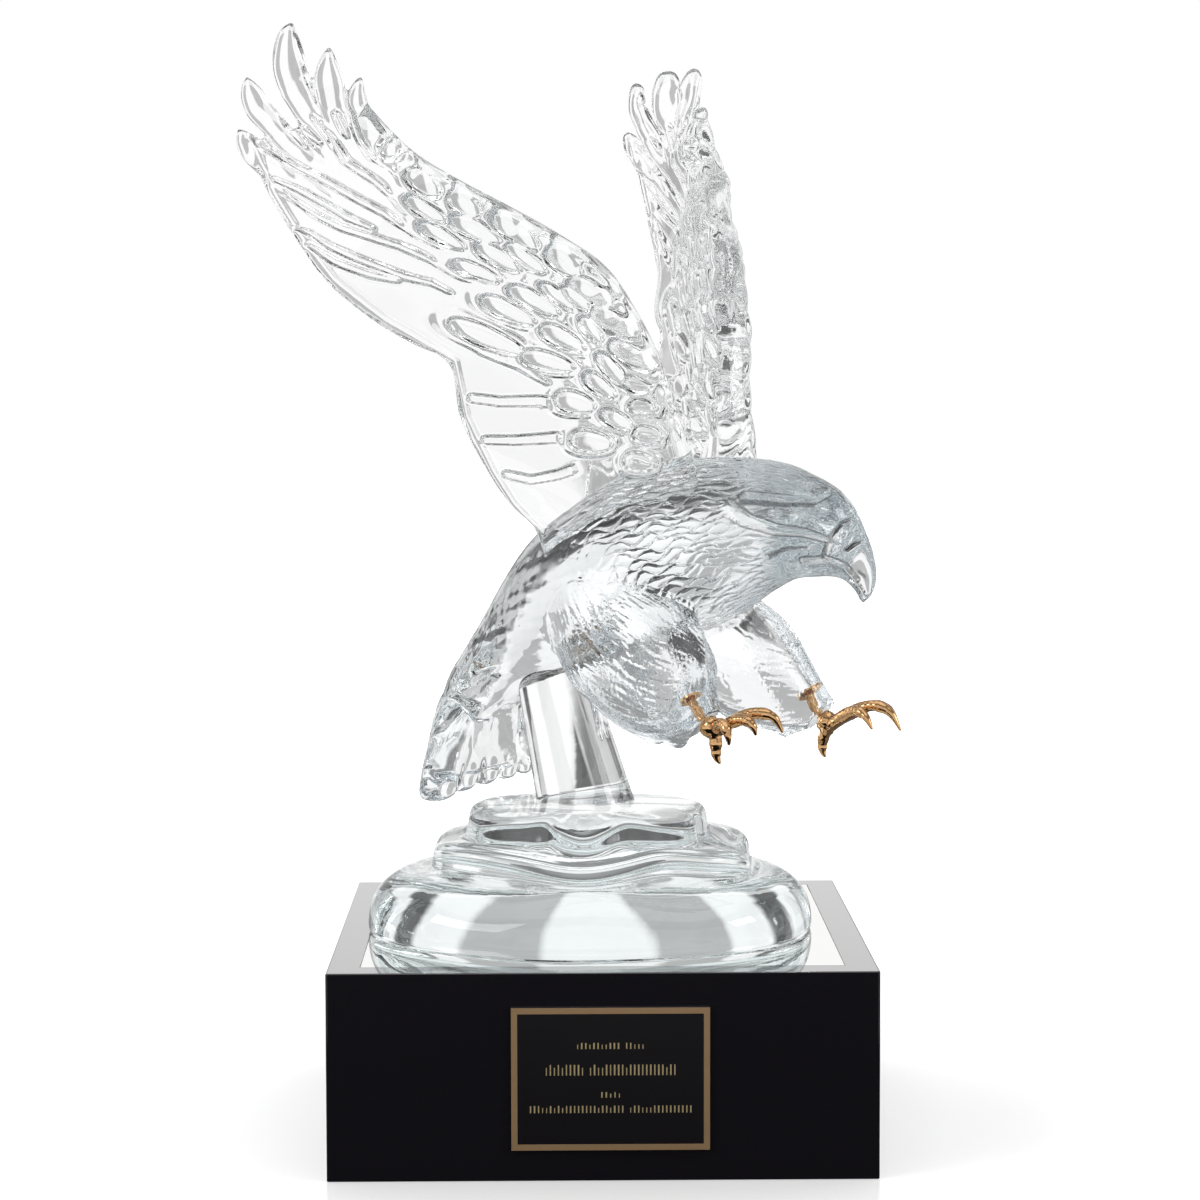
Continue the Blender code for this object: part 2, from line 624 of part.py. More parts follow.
def build_wing(name, mark, glass):
    rings = []
    for i in range(WING_RINGS):
        lead, trail, chord, thick = wing_section(i / (WING_RINGS - 1))
        back = (trail - lead) / chord
        rings.append([wing_point(lead.x + back.x * x, lead.y + back.y * x, h, mark)
                      for x, h in chord_profile(chord, thick)])
    wing = loft(name, rings, glass)
    guides = []
    for which, (line, widths, thick) in FINGERS.items():
        if mark > 0:
            line = trimmed(line, LEFT_FINGER_TRIM.get(which, 0.0))
        guides.append(feather(f"{name} {which} finger", line, widths, FINGER_RISE, mark, thick))
    for number, (line, width) in enumerate(TONGUES):
        widths = (0.35 * width, width, width, 0.6 * width)
        guides.append(feather(f"{name} tongue {number + 1}", line, widths, TONGUE_RISE, mark))
    guides += [coverts(f"{name} coverts {number + 1}", row, mark) for number, row in enumerate(COVERT_ROWS)]
    boolean(wing, guides, "UNION")
    return wing, guides


def toe(name, line, widths, ankle):
    """A toe and its claw: a round rod along its line that ends in a point."""
    rings = []
    for i in range(TOE_RINGS):
        place = i / (TOE_RINGS - 1)
        centre = Vector(between(line, place))
        ahead = Vector(between(line, clamp(place + 0.03))) - Vector(between(line, clamp(place - 0.03)))
        side = ahead.cross(Vector((0, 1, 0))).normalized()
        up = side.cross(ahead).normalized()
        half = between([(w,) for w in widths], place)[0] / 2
        rings.append(oval(Vector(ankle) + centre, up * half, side * half, TOE_SIDES))
    return loft(name, rings)


def build_foot(name, toes, ankle, sections, gold):
    """A plated foot: a knuckle below the ankle's cut end, three toes forwards and one behind."""
    side, front, front_z, rear, rear_z, _ = sections[-1]
    leg = (Vector((front, side, front_z)) + Vector((rear, side, rear_z))) / 2
    side, front, front_z, rear, rear_z, _ = sections[-2]
    axis = (leg - (Vector((front, side, front_z)) + Vector((rear, side, rear_z))) / 2).normalized()
    across = axis.cross(Vector((0, 1, 0))).normalized()
    deep = axis.cross(across)
    rings = [oval(leg + axis * step, across * wide, deep * wide, KNUCKLE_SIDES) for step, wide in KNUCKLE]
    foot = loft(name, rings, gold)
    guides = [toe(f"{name} {which} toe", line, widths, ankle) for which, (line, widths) in toes.items()]
    boolean(foot, guides, "UNION")
    return foot, guides


def main():
    for old in list(bpy.data.objects):
        bpy.data.objects.remove(old, do_unlink=True)
    black = material("black lacquer", (0.012, 0.011, 0.013), 0.12)
    mirror = material("mirror glass", (0.86, 0.86, 0.88), 0.03, metallic=1.0)
    plate = material("black and gold plate", (0.02, 0.018, 0.018), 0.3)
    glass = material("clear glass", (0.93, 0.96, 0.97), 0.02, transmission=1.0)
    gold = material("gold plating", (0.83, 0.55, 0.29), 0.18, metallic=1.0)

    build_block(black, mirror, plate)
    build_rock(glass)
    post = build_post(glass)

    bird = bpy.data.objects.new("bird frame", None)
    bpy.context.scene.collection.objects.link(bird)
    bird.location = (BIRD_AT[0] * MM, BIRD_AT[1] * MM, 0)
    bird.rotation_euler.z = BIRD_HEADING

    body, members = build_body(glass)
    around = trunk("space round the trunk", grow=GAP)
    right_around = thigh("space round the right thigh", RIGHT_THIGH, grow=GAP)
    left_around = thigh("space round the left thigh", LEFT_THIGH, grow=GAP)
    members += [body, around, right_around, left_around]
    boolean(post, [around], "DIFFERENCE")
    for name, mark in (("right_wing", -1), ("left_wing", 1)):
        wing, guides = build_wing(name, mark, glass)
        boolean(wing, [around], "DIFFERENCE")
        members += [wing] + guides
    for name, toes, ankle, sections, space in (
            ("right_talon", RIGHT_TOES, RIGHT_ANKLE, RIGHT_THIGH, right_around),
            ("left_talon", LEFT_TOES, LEFT_ANKLE, LEFT_THIGH, left_around)):
        foot, guides = build_foot(name, toes, ankle, sections, gold)
        boolean(foot, [space], "DIFFERENCE")
        members += [foot] + guides
    for member in members:
        member.parent = bird


main()
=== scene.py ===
# %% [markdown]
# A cast glass eagle award. The measured model is already made: this lesson dresses it. Every cell first says
# what a piece is on the real object, how it could be made, and why it is made this way.
#
# The frame below is that measured model. It is loaded once, and the boxes of its pieces give some sizes
# further on.

# %% Load the measured model
import math
from functools import partial

import bpy
import numpy as np
from mathutils import Matrix, Vector


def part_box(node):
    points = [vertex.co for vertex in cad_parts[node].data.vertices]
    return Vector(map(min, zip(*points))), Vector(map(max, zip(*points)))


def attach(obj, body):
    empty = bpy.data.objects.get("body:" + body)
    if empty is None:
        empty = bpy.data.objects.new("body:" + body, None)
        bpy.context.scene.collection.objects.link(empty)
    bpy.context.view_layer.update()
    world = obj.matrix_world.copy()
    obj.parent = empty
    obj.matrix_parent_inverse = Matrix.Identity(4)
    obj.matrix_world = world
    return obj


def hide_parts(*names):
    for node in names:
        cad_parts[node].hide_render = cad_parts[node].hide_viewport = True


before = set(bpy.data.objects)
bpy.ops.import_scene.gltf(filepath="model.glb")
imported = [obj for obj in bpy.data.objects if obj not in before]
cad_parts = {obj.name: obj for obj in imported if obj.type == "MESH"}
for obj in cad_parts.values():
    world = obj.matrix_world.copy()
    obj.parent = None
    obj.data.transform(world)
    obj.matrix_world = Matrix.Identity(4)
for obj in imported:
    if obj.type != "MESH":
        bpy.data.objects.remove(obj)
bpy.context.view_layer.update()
MM = 0.001
print("measured pieces:", ", ".join(sorted(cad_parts)))

# %% [markdown]
# The camera stands where the photographer stood. Its place and lens were worked out from the block, whose
# edges are known to be square and level, so the render can be laid over the photograph. A long lens far away
# keeps the block's sides nearly parallel, as in the picture.

# %% Place the camera
CAMERA_AT = (-17.78, -1329.0, 322.65)  # mm
CAMERA_DOWN = 0.0778  # radians, as the next two: it looks down and a hair to the right, and is hardly tilted
CAMERA_RIGHT = 0.0138
CAMERA_ROLL = 0.0021
LENS = 95.47
SENSOR = 36.0


def link(name, data):
    """Put a new object into the scene."""
    made = bpy.data.objects.new(name, data)
    bpy.context.scene.collection.objects.link(made)
    return made


lens = bpy.data.cameras.new("camera")
lens.lens, lens.sensor_width = LENS, SENSOR
lens.clip_start, lens.clip_end = 0.05, 50
camera = link("camera", lens)
turn = (Matrix.Rotation(-CAMERA_RIGHT, 4, "Z") @ Matrix.Rotation(math.pi / 2 - CAMERA_DOWN, 4, "X")
        @ Matrix.Rotation(-CAMERA_ROLL, 4, "Z"))
camera.matrix_world = Matrix.Translation(Vector(CAMERA_AT) * MM) @ turn
bpy.context.scene.camera = camera
print(f"camera {CAMERA_AT[1]:.0f} mm in front, lens {LENS:.1f} mm")

# %% [markdown]
# Every finish in this lesson is drawn with nodes. Small helpers keep the drawing short: one adds a node and
# fills its inputs, one does sums, and one makes a soft step from one value to another, which is how cards,
# edges and clouds get their borders.

# %% Helpers for nodes
WHITE = (1.0, 1.0, 1.0, 1.0)


def feed(tree, node, values):
    """Set a node's inputs to numbers and colours, or link them to other nodes' outputs."""
    for name, value in values.items():
        if isinstance(value, bpy.types.NodeSocket):
            tree.links.new(value, node.inputs[name])
        else:
            node.inputs[name].default_value = value


def add(tree, kind, values=None, **settings):
    """A new shader node with its settings and its inputs."""
    node = tree.nodes.new("ShaderNode" + kind)
    for name, value in settings.items():
        setattr(node, name, value)
    feed(tree, node, values or {})
    return node


def maths(tree, operation, *values):
    """A sum of numbers or other nodes' outputs."""
    return add(tree, "Math", dict(enumerate(values)), operation=operation).outputs[0]


def steps(tree, value, low, high, out_low=0.0, out_high=1.0):
    """A smooth step from out_low at low to out_high at high."""
    ends = {"Value": value, "From Min": low, "From Max": high, "To Min": out_low, "To Max": out_high}
    return add(tree, "MapRange", ends, interpolation_type="SMOOTHSTEP").outputs[0]


print("node helpers ready")

# %% [markdown]
# Clear glass has no colour of its own to show: it shows the room, bent. So the studio is part of the finish.
# Product photographers put glass on white and stand grey cards beside it, and the cards draw the dark lines
# round every form. Here the world does the same: it is white to the camera, and to light that has met the
# object it is a bright room with soft grey cards at even steps all round and a darker ceiling.

# %% Build the studio
CARDS = 12
CARD_DARK = 0.1
CARD_EDGES = (-0.6, 0.2)
CARD_BEHIND = 0.5  # the cards straight behind the object are paler
BEHIND_EDGES = (0.42, 0.6)  # radians from straight behind it
CARD_BESIDE = 0.75  # those beside and behind the camera are paler still
BESIDE_EDGES = (1.4, 1.6)
CARD_TOP = (0.3, 0.5)  # how far up, as the next ones: 0 is level with the object and 1 straight above it
CEILING_EDGE = (0.45, 0.56)
CEILING_DARK = 0.28
SKYLIGHT_EDGE = (0.78, 0.88)


def cards_round(tree, around, low, high):
    """Low on the cards that stand round the object, and high between them."""
    wave = maths(tree, "COSINE", maths(tree, "MULTIPLY", around, float(CARDS)))
    return steps(tree, wave, *CARD_EDGES, low, high)


def build_room():
    world = bpy.data.worlds.new("studio room")
    world.use_nodes = True
    bpy.context.scene.world = world
    tree = world.node_tree
    tree.nodes.clear()
    calc, step = partial(maths, tree), partial(steps, tree)
    x, y, z = add(tree, "SeparateXYZ", {0: add(tree, "TexCoord").outputs["Generated"]}).outputs
    around = calc("ARCTAN2", x, y)
    aside = calc("ABSOLUTE", around)
    behind = step(aside, *BEHIND_EDGES, CARD_BEHIND, 0.0)
    beside = step(aside, *BESIDE_EDGES, 0.0, CARD_BESIDE)
    card = calc("MAXIMUM", calc("MAXIMUM", cards_round(tree, around, CARD_DARK, 1.0), behind), beside)
    low = step(z, *CARD_TOP, 1.0, 0.0)
    card = calc("ADD", calc("MULTIPLY", card, low), calc("SUBTRACT", 1.0, low))
    ceiling = calc("ADD", step(z, *CEILING_EDGE, 1.0, CEILING_DARK), step(z, *SKYLIGHT_EDGE))
    camera_ray = add(tree, "LightPath").outputs["Is Camera Ray"]
    room = calc("MULTIPLY", calc("MULTIPLY", card, ceiling), calc("SUBTRACT", 1.0, camera_ray))
    light = add(tree, "Background", {"Color": WHITE, "Strength": calc("ADD", room, camera_ray)})
    add(tree, "OutputWorld", {"Surface": light.outputs[0]})


build_room()
print(f"room with {CARDS} grey cards at {CARD_DARK} of its light")

# %% [markdown]
# The floor is a plain white table. It is a sheet much wider than the object, and it glows a little so that it
# runs into the white of the room, as an over-lit table does: painted light. A slight gloss gives the faint
# mirror image under the block. Through the rock's steep walls one sees the table too, bent upwards, so it is
# painted grey near the object, and dark cards are painted on it as a photographer would lay real ones:
# painted shade that the camera doesn't see, and the glass and the block's gloss do.

# %% Lay the floor
FLOOR_SIDE = 12.0  # metres, as all sizes of the table
TABLE_WHITE = 0.9
TABLE_GLOW = 0.25
TABLE_FAR = (0.12, 0.45)  # from here on the table glows as white as the room to the camera: painted light
TABLE_NEAR = (0.6, 0.85)  # near the object the table is painted grey to all but the camera: painted shade that glass shows
TABLE_PAINTED_GREY = 0.16
TABLE_BETWEEN = 0.55  # how much of that grey is gone between the cards
# dark cards painted on the table, seen only by reflected and refracted light: painted shade
PAINTED_CARD_BLACK = 0.012
PAINTED_CARD_FRONT = (0.0, -0.45, 0.32, 0.39, 0.9, 1.0)  # middle, half sides, where its soft edge starts, how dark
PAINTED_CARD_BACK = (0.06, 0.5, 0.145, 0.26, 0.8, 0.85)


def new_material(name):
    made = bpy.data.materials.new(name)
    made.use_nodes = True
    return made, made.node_tree, made.node_tree.nodes["Principled BSDF"]


def painted_card_on_table(tree, x, y, card):
    """How much of a painted dark card each place of the table shows."""
    middle_x, middle_y, half_wide, half_deep, inner, dark = card
    aside = maths(tree, "DIVIDE", maths(tree, "ABSOLUTE", maths(tree, "SUBTRACT", x, middle_x)), half_wide)
    ahead = maths(tree, "DIVIDE", maths(tree, "ABSOLUTE", maths(tree, "SUBTRACT", y, middle_y)), half_deep)
    return steps(tree, maths(tree, "MAXIMUM", aside, ahead), inner, 1.0, dark, 0.0)


def white_table():
    made, tree, shader = new_material("white table")
    calc, step = partial(maths, tree), partial(steps, tree)
    where = add(tree, "TexCoord").outputs["Object"]
    x, y, _ = add(tree, "SeparateXYZ", {0: where}).outputs
    away = add(tree, "VectorMath", {0: where}, operation="LENGTH").outputs["Value"]
    path = add(tree, "LightPath").outputs
    camera_ray, in_glass = path["Is Camera Ray"], path["Is Transmission Ray"]
    between = calc("MULTIPLY", cards_round(tree, calc("ARCTAN2", x, y), 0.0, TABLE_BETWEEN), in_glass)
    # painted shade: the table is grey near the object to all rays but the camera's
    near = calc("MAXIMUM", step(away, *TABLE_NEAR, TABLE_PAINTED_GREY, 1.0), between)
    plain = calc("MAXIMUM", camera_ray, near)
    # painted light: far off, the table glows white to the camera
    far = calc("MULTIPLY", step(away, *TABLE_FAR), camera_ray)
    feed(tree, shader, {
        "Base Color": calc("MULTIPLY", plain, TABLE_WHITE),
        "Roughness": step(add(tree, "TexNoise", {"Scale": 6.0}).outputs[0], 0.3, 0.7, 0.16, 0.2),
        "Specular IOR Level": 0.35,
        "Emission Color": WHITE,
        "Emission Strength": calc("ADD", calc("MULTIPLY", plain, TABLE_GLOW), far),
    })
    # the painted dark cards, hidden from the camera
    card = add(tree, "BsdfDiffuse", {"Color": (PAINTED_CARD_BLACK, PAINTED_CARD_BLACK, PAINTED_CARD_BLACK, 1.0)})
    back = calc("MULTIPLY", painted_card_on_table(tree, x, y, PAINTED_CARD_BACK), in_glass)
    cards = calc("MAXIMUM", painted_card_on_table(tree, x, y, PAINTED_CARD_FRONT), back)
    hidden = calc("MULTIPLY", cards, calc("SUBTRACT", 1.0, camera_ray))
    choose = add(tree, "MixShader", {0: hidden, 1: shader.outputs[0], 2: card.outputs[0]})
    feed(tree, tree.nodes["Material Output"], {"Surface": choose.outputs[0]})
    return made


def build_floor():
    half = FLOOR_SIDE / 2
    mesh = bpy.data.meshes.new("floor")
    corners = [(-half, -half, 0), (half, -half, 0), (half, half, 0), (-half, half, 0)]
    mesh.from_pydata(corners, [], [(0, 1, 2, 3)])
    mesh.materials.append(white_table())
    link("floor", mesh)


build_floor()
print("floor", FLOOR_SIDE, "m wide")

# %% [markdown]
# Two large soft lamps do the rest, one on either side of the camera. They could be brighter and smaller, but
# then the lacquer and the gold would show hard spots. Glass needs many bounces of light: each wall that a ray
# crosses is one, and the bird's relief is crossed again and again.

# %% Hang the lamps
LAMPS = (  # place in metres, side, power
    ("left lamp", (-1.6, -1.0, 1.3), 0.9, 9.0),
    ("right lamp", (1.7, -0.7, 1.1), 0.6, 5.0),
)
LAMPS_FACE = Vector((0, 0, 0.25))

for name, place, size, power in LAMPS:
    light = bpy.data.lights.new(name, "AREA")
    light.energy, light.size = power, size
    lamp = link(name, light)
    lamp.location = place
    lamp.rotation_euler = (LAMPS_FACE - Vector(place)).to_track_quat("-Z", "Y").to_euler()
settings = bpy.context.scene.cycles
settings.max_bounces = settings.transmission_bounces = 28
settings.glossy_bounces = 10
settings.caustics_refractive = settings.caustics_reflective = True
settings.blur_glossy = 0.3
bpy.context.scene.view_settings.view_transform = "Standard"
print(len(LAMPS), "lamps and", settings.max_bounces, "bounces")

# %% [markdown]
# Glass first. The eagle is cast in one clear, slightly cold glass, and what little colour it has comes from
# its depth. So the shader is plain: full transmission, glass's bending power, and a faint absorption inside.
# Cast glass is never optically flat: the mould leaves a soft waviness. That waviness serves every glass
# piece, so it is a node group, made once, with its sizes as inputs.

# %% Mix the glass
GLASS_BENDING = 1.5
GLASS_DEPTH = 2.4  # how strongly the tints below show
GLASS_TINT = (0.80, 0.87, 0.89)
ROCK_TINT = (0.73, 0.855, 0.88)
BODY_TINT = (0.60, 0.75, 0.83)


def noise_level(tree, scale, detail):
    """Soft clouds that stay put on the piece."""
    where = add(tree, "TexCoord").outputs["Object"]
    return add(tree, "TexNoise", {"Vector": where, "Scale": scale, "Detail": detail}).outputs[0]


def new_group(name, inputs, outputs):
    """A node group with named sockets: a number for a value and None for a vector."""
    group = bpy.data.node_groups.new(name, "ShaderNodeTree")
    for way, sockets in (("INPUT", inputs), ("OUTPUT", outputs)):
        for socket, value in sockets.items():
            kind = "NodeSocketVector" if value is None else "NodeSocketFloat"
            made = group.interface.new_socket(socket, in_out=way, socket_type=kind)
            if value is not None:
                made.default_value = value
    return group, group.nodes.new("NodeGroupInput").outputs, group.nodes.new("NodeGroupOutput")


def waviness_group():
    """Soft hollows and finer pull marks of cast glass, as a normal."""
    sizes = {"Broad size": 60.0, "Fine size": 400.0, "Fine share": 0.25, "Depth": 0.2}
    group, given, end = new_group("cast waviness", sizes, {"Normal": None})
    fine = maths(group, "MULTIPLY", noise_level(group, given["Fine size"], 2.0), given["Fine share"])
    height = maths(group, "ADD", noise_level(group, given["Broad size"], 1.0), fine)
    bump = add(group, "Bump", {"Distance": MM, "Strength": given["Depth"], "Height": height})
    feed(group, end, {"Normal": bump.outputs[0]})
    return group


WAVINESS = waviness_group()


def glass(name, broad, fine, share, depth, tint=GLASS_TINT):
    """Clear cast glass with its own waviness."""
    made, tree, shader = new_material(name)
    sizes = {"Broad size": broad, "Fine size": fine, "Fine share": share, "Depth": depth}
    wave = add(tree, "Group", sizes, node_tree=WAVINESS)
    feed(tree, shader, {"Base Color": WHITE, "Metallic": 0.0, "Roughness": 0.0, "Transmission Weight": 1.0,
                        "IOR": GLASS_BENDING, "Normal": wave.outputs["Normal"]})
    inside = add(tree, "VolumeAbsorption", {"Color": (*tint, 1.0), "Density": GLASS_DEPTH})
    feed(tree, tree.nodes["Material Output"], {"Volume": inside.outputs[0]})
    return made


BODY_GLASS = glass("feathered glass", 60.0, 300.0, 0.05, 0.1, BODY_TINT)
WING_GLASS = glass("wing glass", 60.0, 500.0, 0.1, 0.12)
ROCK_GLASS = glass("rock glass", 30.0, 130.0, 0.14, 0.4, ROCK_TINT)
POST_GLASS = glass("post glass", 40.0, 160.0, 0.1, 0.2)
print("glass bends light", GLASS_BENDING, "times")

# %% [markdown]
# The block is wood under black gloss lacquer. Lacquer is a dark paint under a clear coat: the paint hardly
# shows, and the coat mirrors the room most where it is seen at a low angle, which is why the block's top
# looks grey and its front black. A trace of dust and very faint polishing haze keep it from looking perfect.
# The mirror let into its top is silvered glass, so it is plain metal with almost no roughness.

# %% Finish the block and its mirror
LACQUER = {"Base Color": (0.0105, 0.0095, 0.0130, 1.0), "IOR": 1.5, "Specular IOR Level": 0.5,
           "Coat Weight": 1.0, "Coat IOR": 1.5, "Coat Roughness": 0.02}
SILVER = {"Base Color": (0.93, 0.925, 0.91, 1.0), "Metallic": 1.0}


def finish(name, clouds, span, rough, values):
    """A solid finish whose roughness drifts in clouds (scale and detail) between two values."""
    made, tree, shader = new_material(name)
    drift = steps(tree, noise_level(tree, *clouds), *span, *rough)
    feed(tree, shader, {"Roughness": drift, **values})
    return made


def refinish(node, made):
    """Give a measured piece, which is shown as it is, a better finish."""
    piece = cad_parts[node]
    piece.data.materials.clear()
    piece.data.materials.append(made)


lacquer = finish("black lacquer", (14.0, 4.0), (0.35, 0.75), (0.05, 0.1), LACQUER)
silvered = finish("silvered glass", (9.0, 3.0), (0.4, 0.8), (0.012, 0.03), SILVER)
refinish("plinth_block", lacquer)
refinish("mirror_inset", silvered)
print("block and mirror finished")

# %% [markdown]
# Round, swelling forms are easiest to make as skins drawn over rings, as a boat is planked over its frames.
# Each ring is worked out from a few sections by a smooth curve. These helpers make rings and skins, and all
# of them work in millimetres.

# %% Helpers for rings and skins
FULL_TURN = 2 * math.pi


def unit(vectors):
    """The same directions, all one long."""
    return vectors / np.linalg.norm(vectors, axis=-1, keepdims=True)


def ease(low, high, value):
    """0 below low, 1 above high, and a smooth step between."""
    f = np.clip((value - low) / (high - low), 0.0, 1.0)
    return f * f * (3 - 2 * f)


def through(rows, places):
    """Values at places from 0 to 1 along a smooth curve through the rows."""
    rows = np.asarray(rows, float)
    if rows.ndim == 1:
        rows = rows[:, None]
    last = len(rows) - 1
    at = np.clip(np.atleast_1d(places), 0, 1) * last
    i = np.minimum(at.astype(int), last - 1)
    f = (at - i)[:, None]
    p, q, r, s = (rows[np.clip(i + k, 0, last)] for k in (-1, 0, 1, 2))
    bend, twist = 2 * p - 5 * q + 4 * r - s, 3 * q - p - 3 * r + s
    return 0.5 * (2 * q + (r - p) * f + bend * f ** 2 + twist * f ** 3)


def ring(centre, up, side, count, square=2.0):
    """An oval of points round a centre; a square above 2 fills its corners."""
    turn = np.arange(count) * (FULL_TURN / count)
    c, s = np.cos(turn)[:, None], np.sin(turn)[:, None]
    reach = (np.abs(c) ** square + np.abs(s) ** square) ** (-1 / square)
    return np.asarray(centre) + np.asarray(up) * (c * reach) + np.asarray(side) * (s * reach)


def skin(rings):
    """A closed skin over rings of equally many points: its points and faces."""
    count, last, faces = len(rings[0]), len(rings) - 1, []
    for level in range(last):
        for i in range(count):
            here, beside = level * count + i, level * count + (i + 1) % count
            faces.append((here, beside, beside + count, here + count))
    faces += [tuple(range(count))[::-1], tuple(range(last * count, last * count + count))]
    return np.vstack(rings), faces


print("ring and skin helpers ready")

# %% [markdown]
# The glass bird is many swelling forms run together. Booleans could join them, but they leave hard creases
# where glass would have flowed. Melting is closer to what a mould does: the overlapping skins are turned into
# small even cells by a Remesh modifier, and a few rounds of smoothing take out the grain of the cells without
# shrinking the form. The even cells then take the fine relief, which is pushed in along the normals.

# %% Helpers that melt and smooth
MESH_DRAW, MESH_PUSH = 0.55, -0.57  # how far smoothing draws points in, and how far it lets them out again


def read(items, name, width=1, kind=float):
    """One value of each vertex, corner or face of a mesh, as an array."""
    values = np.empty(len(items) * width, kind)
    items.foreach_get(name, values)
    return values


def edges_of(faces):
    sides = np.vstack([faces[:, [k, (k + 1) % 4]] for k in range(4)])
    sides = sides[sides[:, 0] != sides[:, 1]]
    return np.unique(np.sort(sides, axis=1), axis=0)


def spread(index, values, count):
    return np.stack([np.bincount(index, values[:, k], count) for k in range(3)], axis=1)


def relax(points, faces, rounds):
    """Take out small bumps: each round draws points to their neighbours, then pushes them back out."""
    one, two = edges_of(faces).T
    total = len(points)
    near = np.bincount(np.append(one, two), minlength=total)[:, None]
    for _ in range(rounds):
        for step in (MESH_DRAW, MESH_PUSH):
            mean = (spread(one, points[two], total) + spread(two, points[one], total)) / near
            points = points + step * (mean - points)
    return points


def normals_of(points, faces):
    out = np.cross(points[faces[:, 2]] - points[faces[:, 0]], points[faces[:, 3]] - points[faces[:, 1]])
    total = sum(spread(faces[:, k], out, len(points)) for k in range(4))
    return total / np.maximum(np.linalg.norm(total, axis=1, keepdims=True), 1e-9)


def plain_mesh(name, points, faces):
    mesh = bpy.data.meshes.new(name)
    faces = faces.tolist() if isinstance(faces, np.ndarray) else faces
    mesh.from_pydata((np.asarray(points) * MM).tolist(), [], [tuple(dict.fromkeys(face)) for face in faces])
    mesh.update()
    return mesh


def melt(name, skins, cell, rounds=3):
    """Run overlapping skins together into one even skin of square cells."""
    points, faces, start = [], [], 0
    for some_points, some_faces in skins:
        points.append(some_points)
        faces += [tuple(i + start for i in face) for face in some_faces]
        start += len(some_points)
    mesh = plain_mesh(name, np.vstack(points), faces)
    lump = link(name, mesh)
    remesh = lump.modifiers.new("cells", "REMESH")
    remesh.mode, remesh.voxel_size, remesh.adaptivity = "VOXEL", cell * MM, 0.0
    melted = bpy.data.meshes.new_from_object(lump.evaluated_get(bpy.context.evaluated_depsgraph_get()))
    bpy.data.objects.remove(lump)
    points = read(melted.vertices, "co", 3).reshape(-1, 3) / MM
    faces = read(melted.loops, "vertex_index", kind=int).reshape(-1, 4)
    bpy.data.meshes.remove(mesh)
    bpy.data.meshes.remove(melted)
    return relax(points, faces, rounds), faces


print("melting helpers ready")

# %% [markdown]
# Some forms need finer cells in one place only, such as the face. Making every cell small would be costly, so
# the chosen faces are cut into four. The faces beside them become fans of triangles, which keeps the skin
# closed. A second helper places a finished piece: it gets its glass or metal and stands for a measured piece.

# %% Helpers that refine and place


def refine(points, faces, chosen):
    """Cut the chosen square faces into four; the faces beside them become fans of triangles.

    A triangle is kept as a square face whose last corner is given twice.
    """
    total = len(points)
    chosen = chosen & (faces[:, 2] != faces[:, 3])
    sides = np.sort(np.stack([faces, np.roll(faces, -1, axis=1)], -1), axis=-1)
    names = sides[..., 0] * total + sides[..., 1]
    cut_names = np.unique(names[chosen])
    spot = np.searchsorted(cut_names, names).clip(0, len(cut_names) - 1)
    cut = cut_names[spot] == names
    middle = total + spot
    centre = total + len(cut_names) + np.arange(chosen.sum())
    corner, mid = faces[chosen], middle[chosen]
    quads = [np.stack([corner[:, k], mid[:, k], centre, mid[:, k - 1]], 1) for k in range(4)]
    fans = []
    for face in np.flatnonzero(cut.any(1) & ~chosen):
        loop = []
        for k in (0, 1, 2, 3) if faces[face, 2] != faces[face, 3] else (0, 1, 3):
            loop += [faces[face, k]] + ([middle[face, k]] if cut[face, k] else [])
        first = next(i for i, point in enumerate(loop) if point >= total)
        loop = loop[first:] + loop[:first]
        fans += [(loop[0], one, two, two) for one, two in zip(loop[1:], loop[2:])]
    ends = np.stack([cut_names // total, cut_names % total], 1)
    points = np.vstack([points, points[ends].mean(1), points[faces[chosen]].mean(1)])
    return points, np.vstack([faces[~cut.any(1)], *quads, np.array(fans).reshape(-1, 4)])


def place_piece(name, mesh, made, node=None, smooth=True):
    """Link a piece's mesh, give it its finish, and let it stand for a measured piece."""
    piece = link(name, mesh)
    mesh.materials.clear()  # a Boolean leaves an empty slot and its own numbers on the faces
    mesh.materials.append(made)
    mesh.polygons.foreach_set("material_index", [0] * len(mesh.polygons))
    if smooth:
        mesh.shade_smooth()
    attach(piece, "root")
    if node:
        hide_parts(node)
    size = Vector(np.ptp(read(mesh.vertices, "co", 3).reshape(-1, 3), axis=0)) / MM
    print(f"{name}: {len(mesh.polygons)} faces, {size.x:.1f} by {size.y:.1f} by {size.z:.1f} mm")


print("refining and placing helpers ready")

# %% [markdown]
# The rock under the bird is one heavy casting in three tiers, each a rounded slab with a steep, wavy front.
# It could be carved, but tiers are plainest as rings: every ring is a rounded rectangle in plan with its own
# size, and waves round it swell and pinch its edge. It is polished, so a fine smooth skin is all it needs.
# The steep foot of the lowest tier matters most: it lets the eye look straight in, where a rounded foot would
# gather the whole room into level stripes.

# %% Cast the rock
ROCK_FOOT, ROCK_TOP = (corner.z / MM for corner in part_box("glass_base"))
SLAB, STEP, CROWN = 0, 1, 2
TIERS = (  # of each tier: its middle, its half sides, and how square it is
    (-3.7, -3, 92.8, 81.5, 2.25),
    (-2.6, 7, 67.7, 54, 2.7),
    (-6, 6, 50.6, 44, 3),
)
ROCK_LEVELS = (  # tier, size, height above the foot
    (SLAB, 0.99, 0), (SLAB, 0.996, 1.5), (SLAB, 0.998, 4.5), (SLAB, 0.985, 12), (SLAB, 0.94, 18),
    (SLAB, 0.865, 22.5), (SLAB, 0.79, 24.3),
    (STEP, 1, 25.2), (STEP, 1, 28), (STEP, 0.992, 33.5), (STEP, 0.94, 36.4), (STEP, 0.84, 37.3),
    (CROWN, 1.02, 38.2), (CROWN, 1, 41), (CROWN, 0.985, 45.5), (CROWN, 0.93, 48.4), (CROWN, 0.80, 49.5),
    (CROWN, 0.60, 49.7),
)
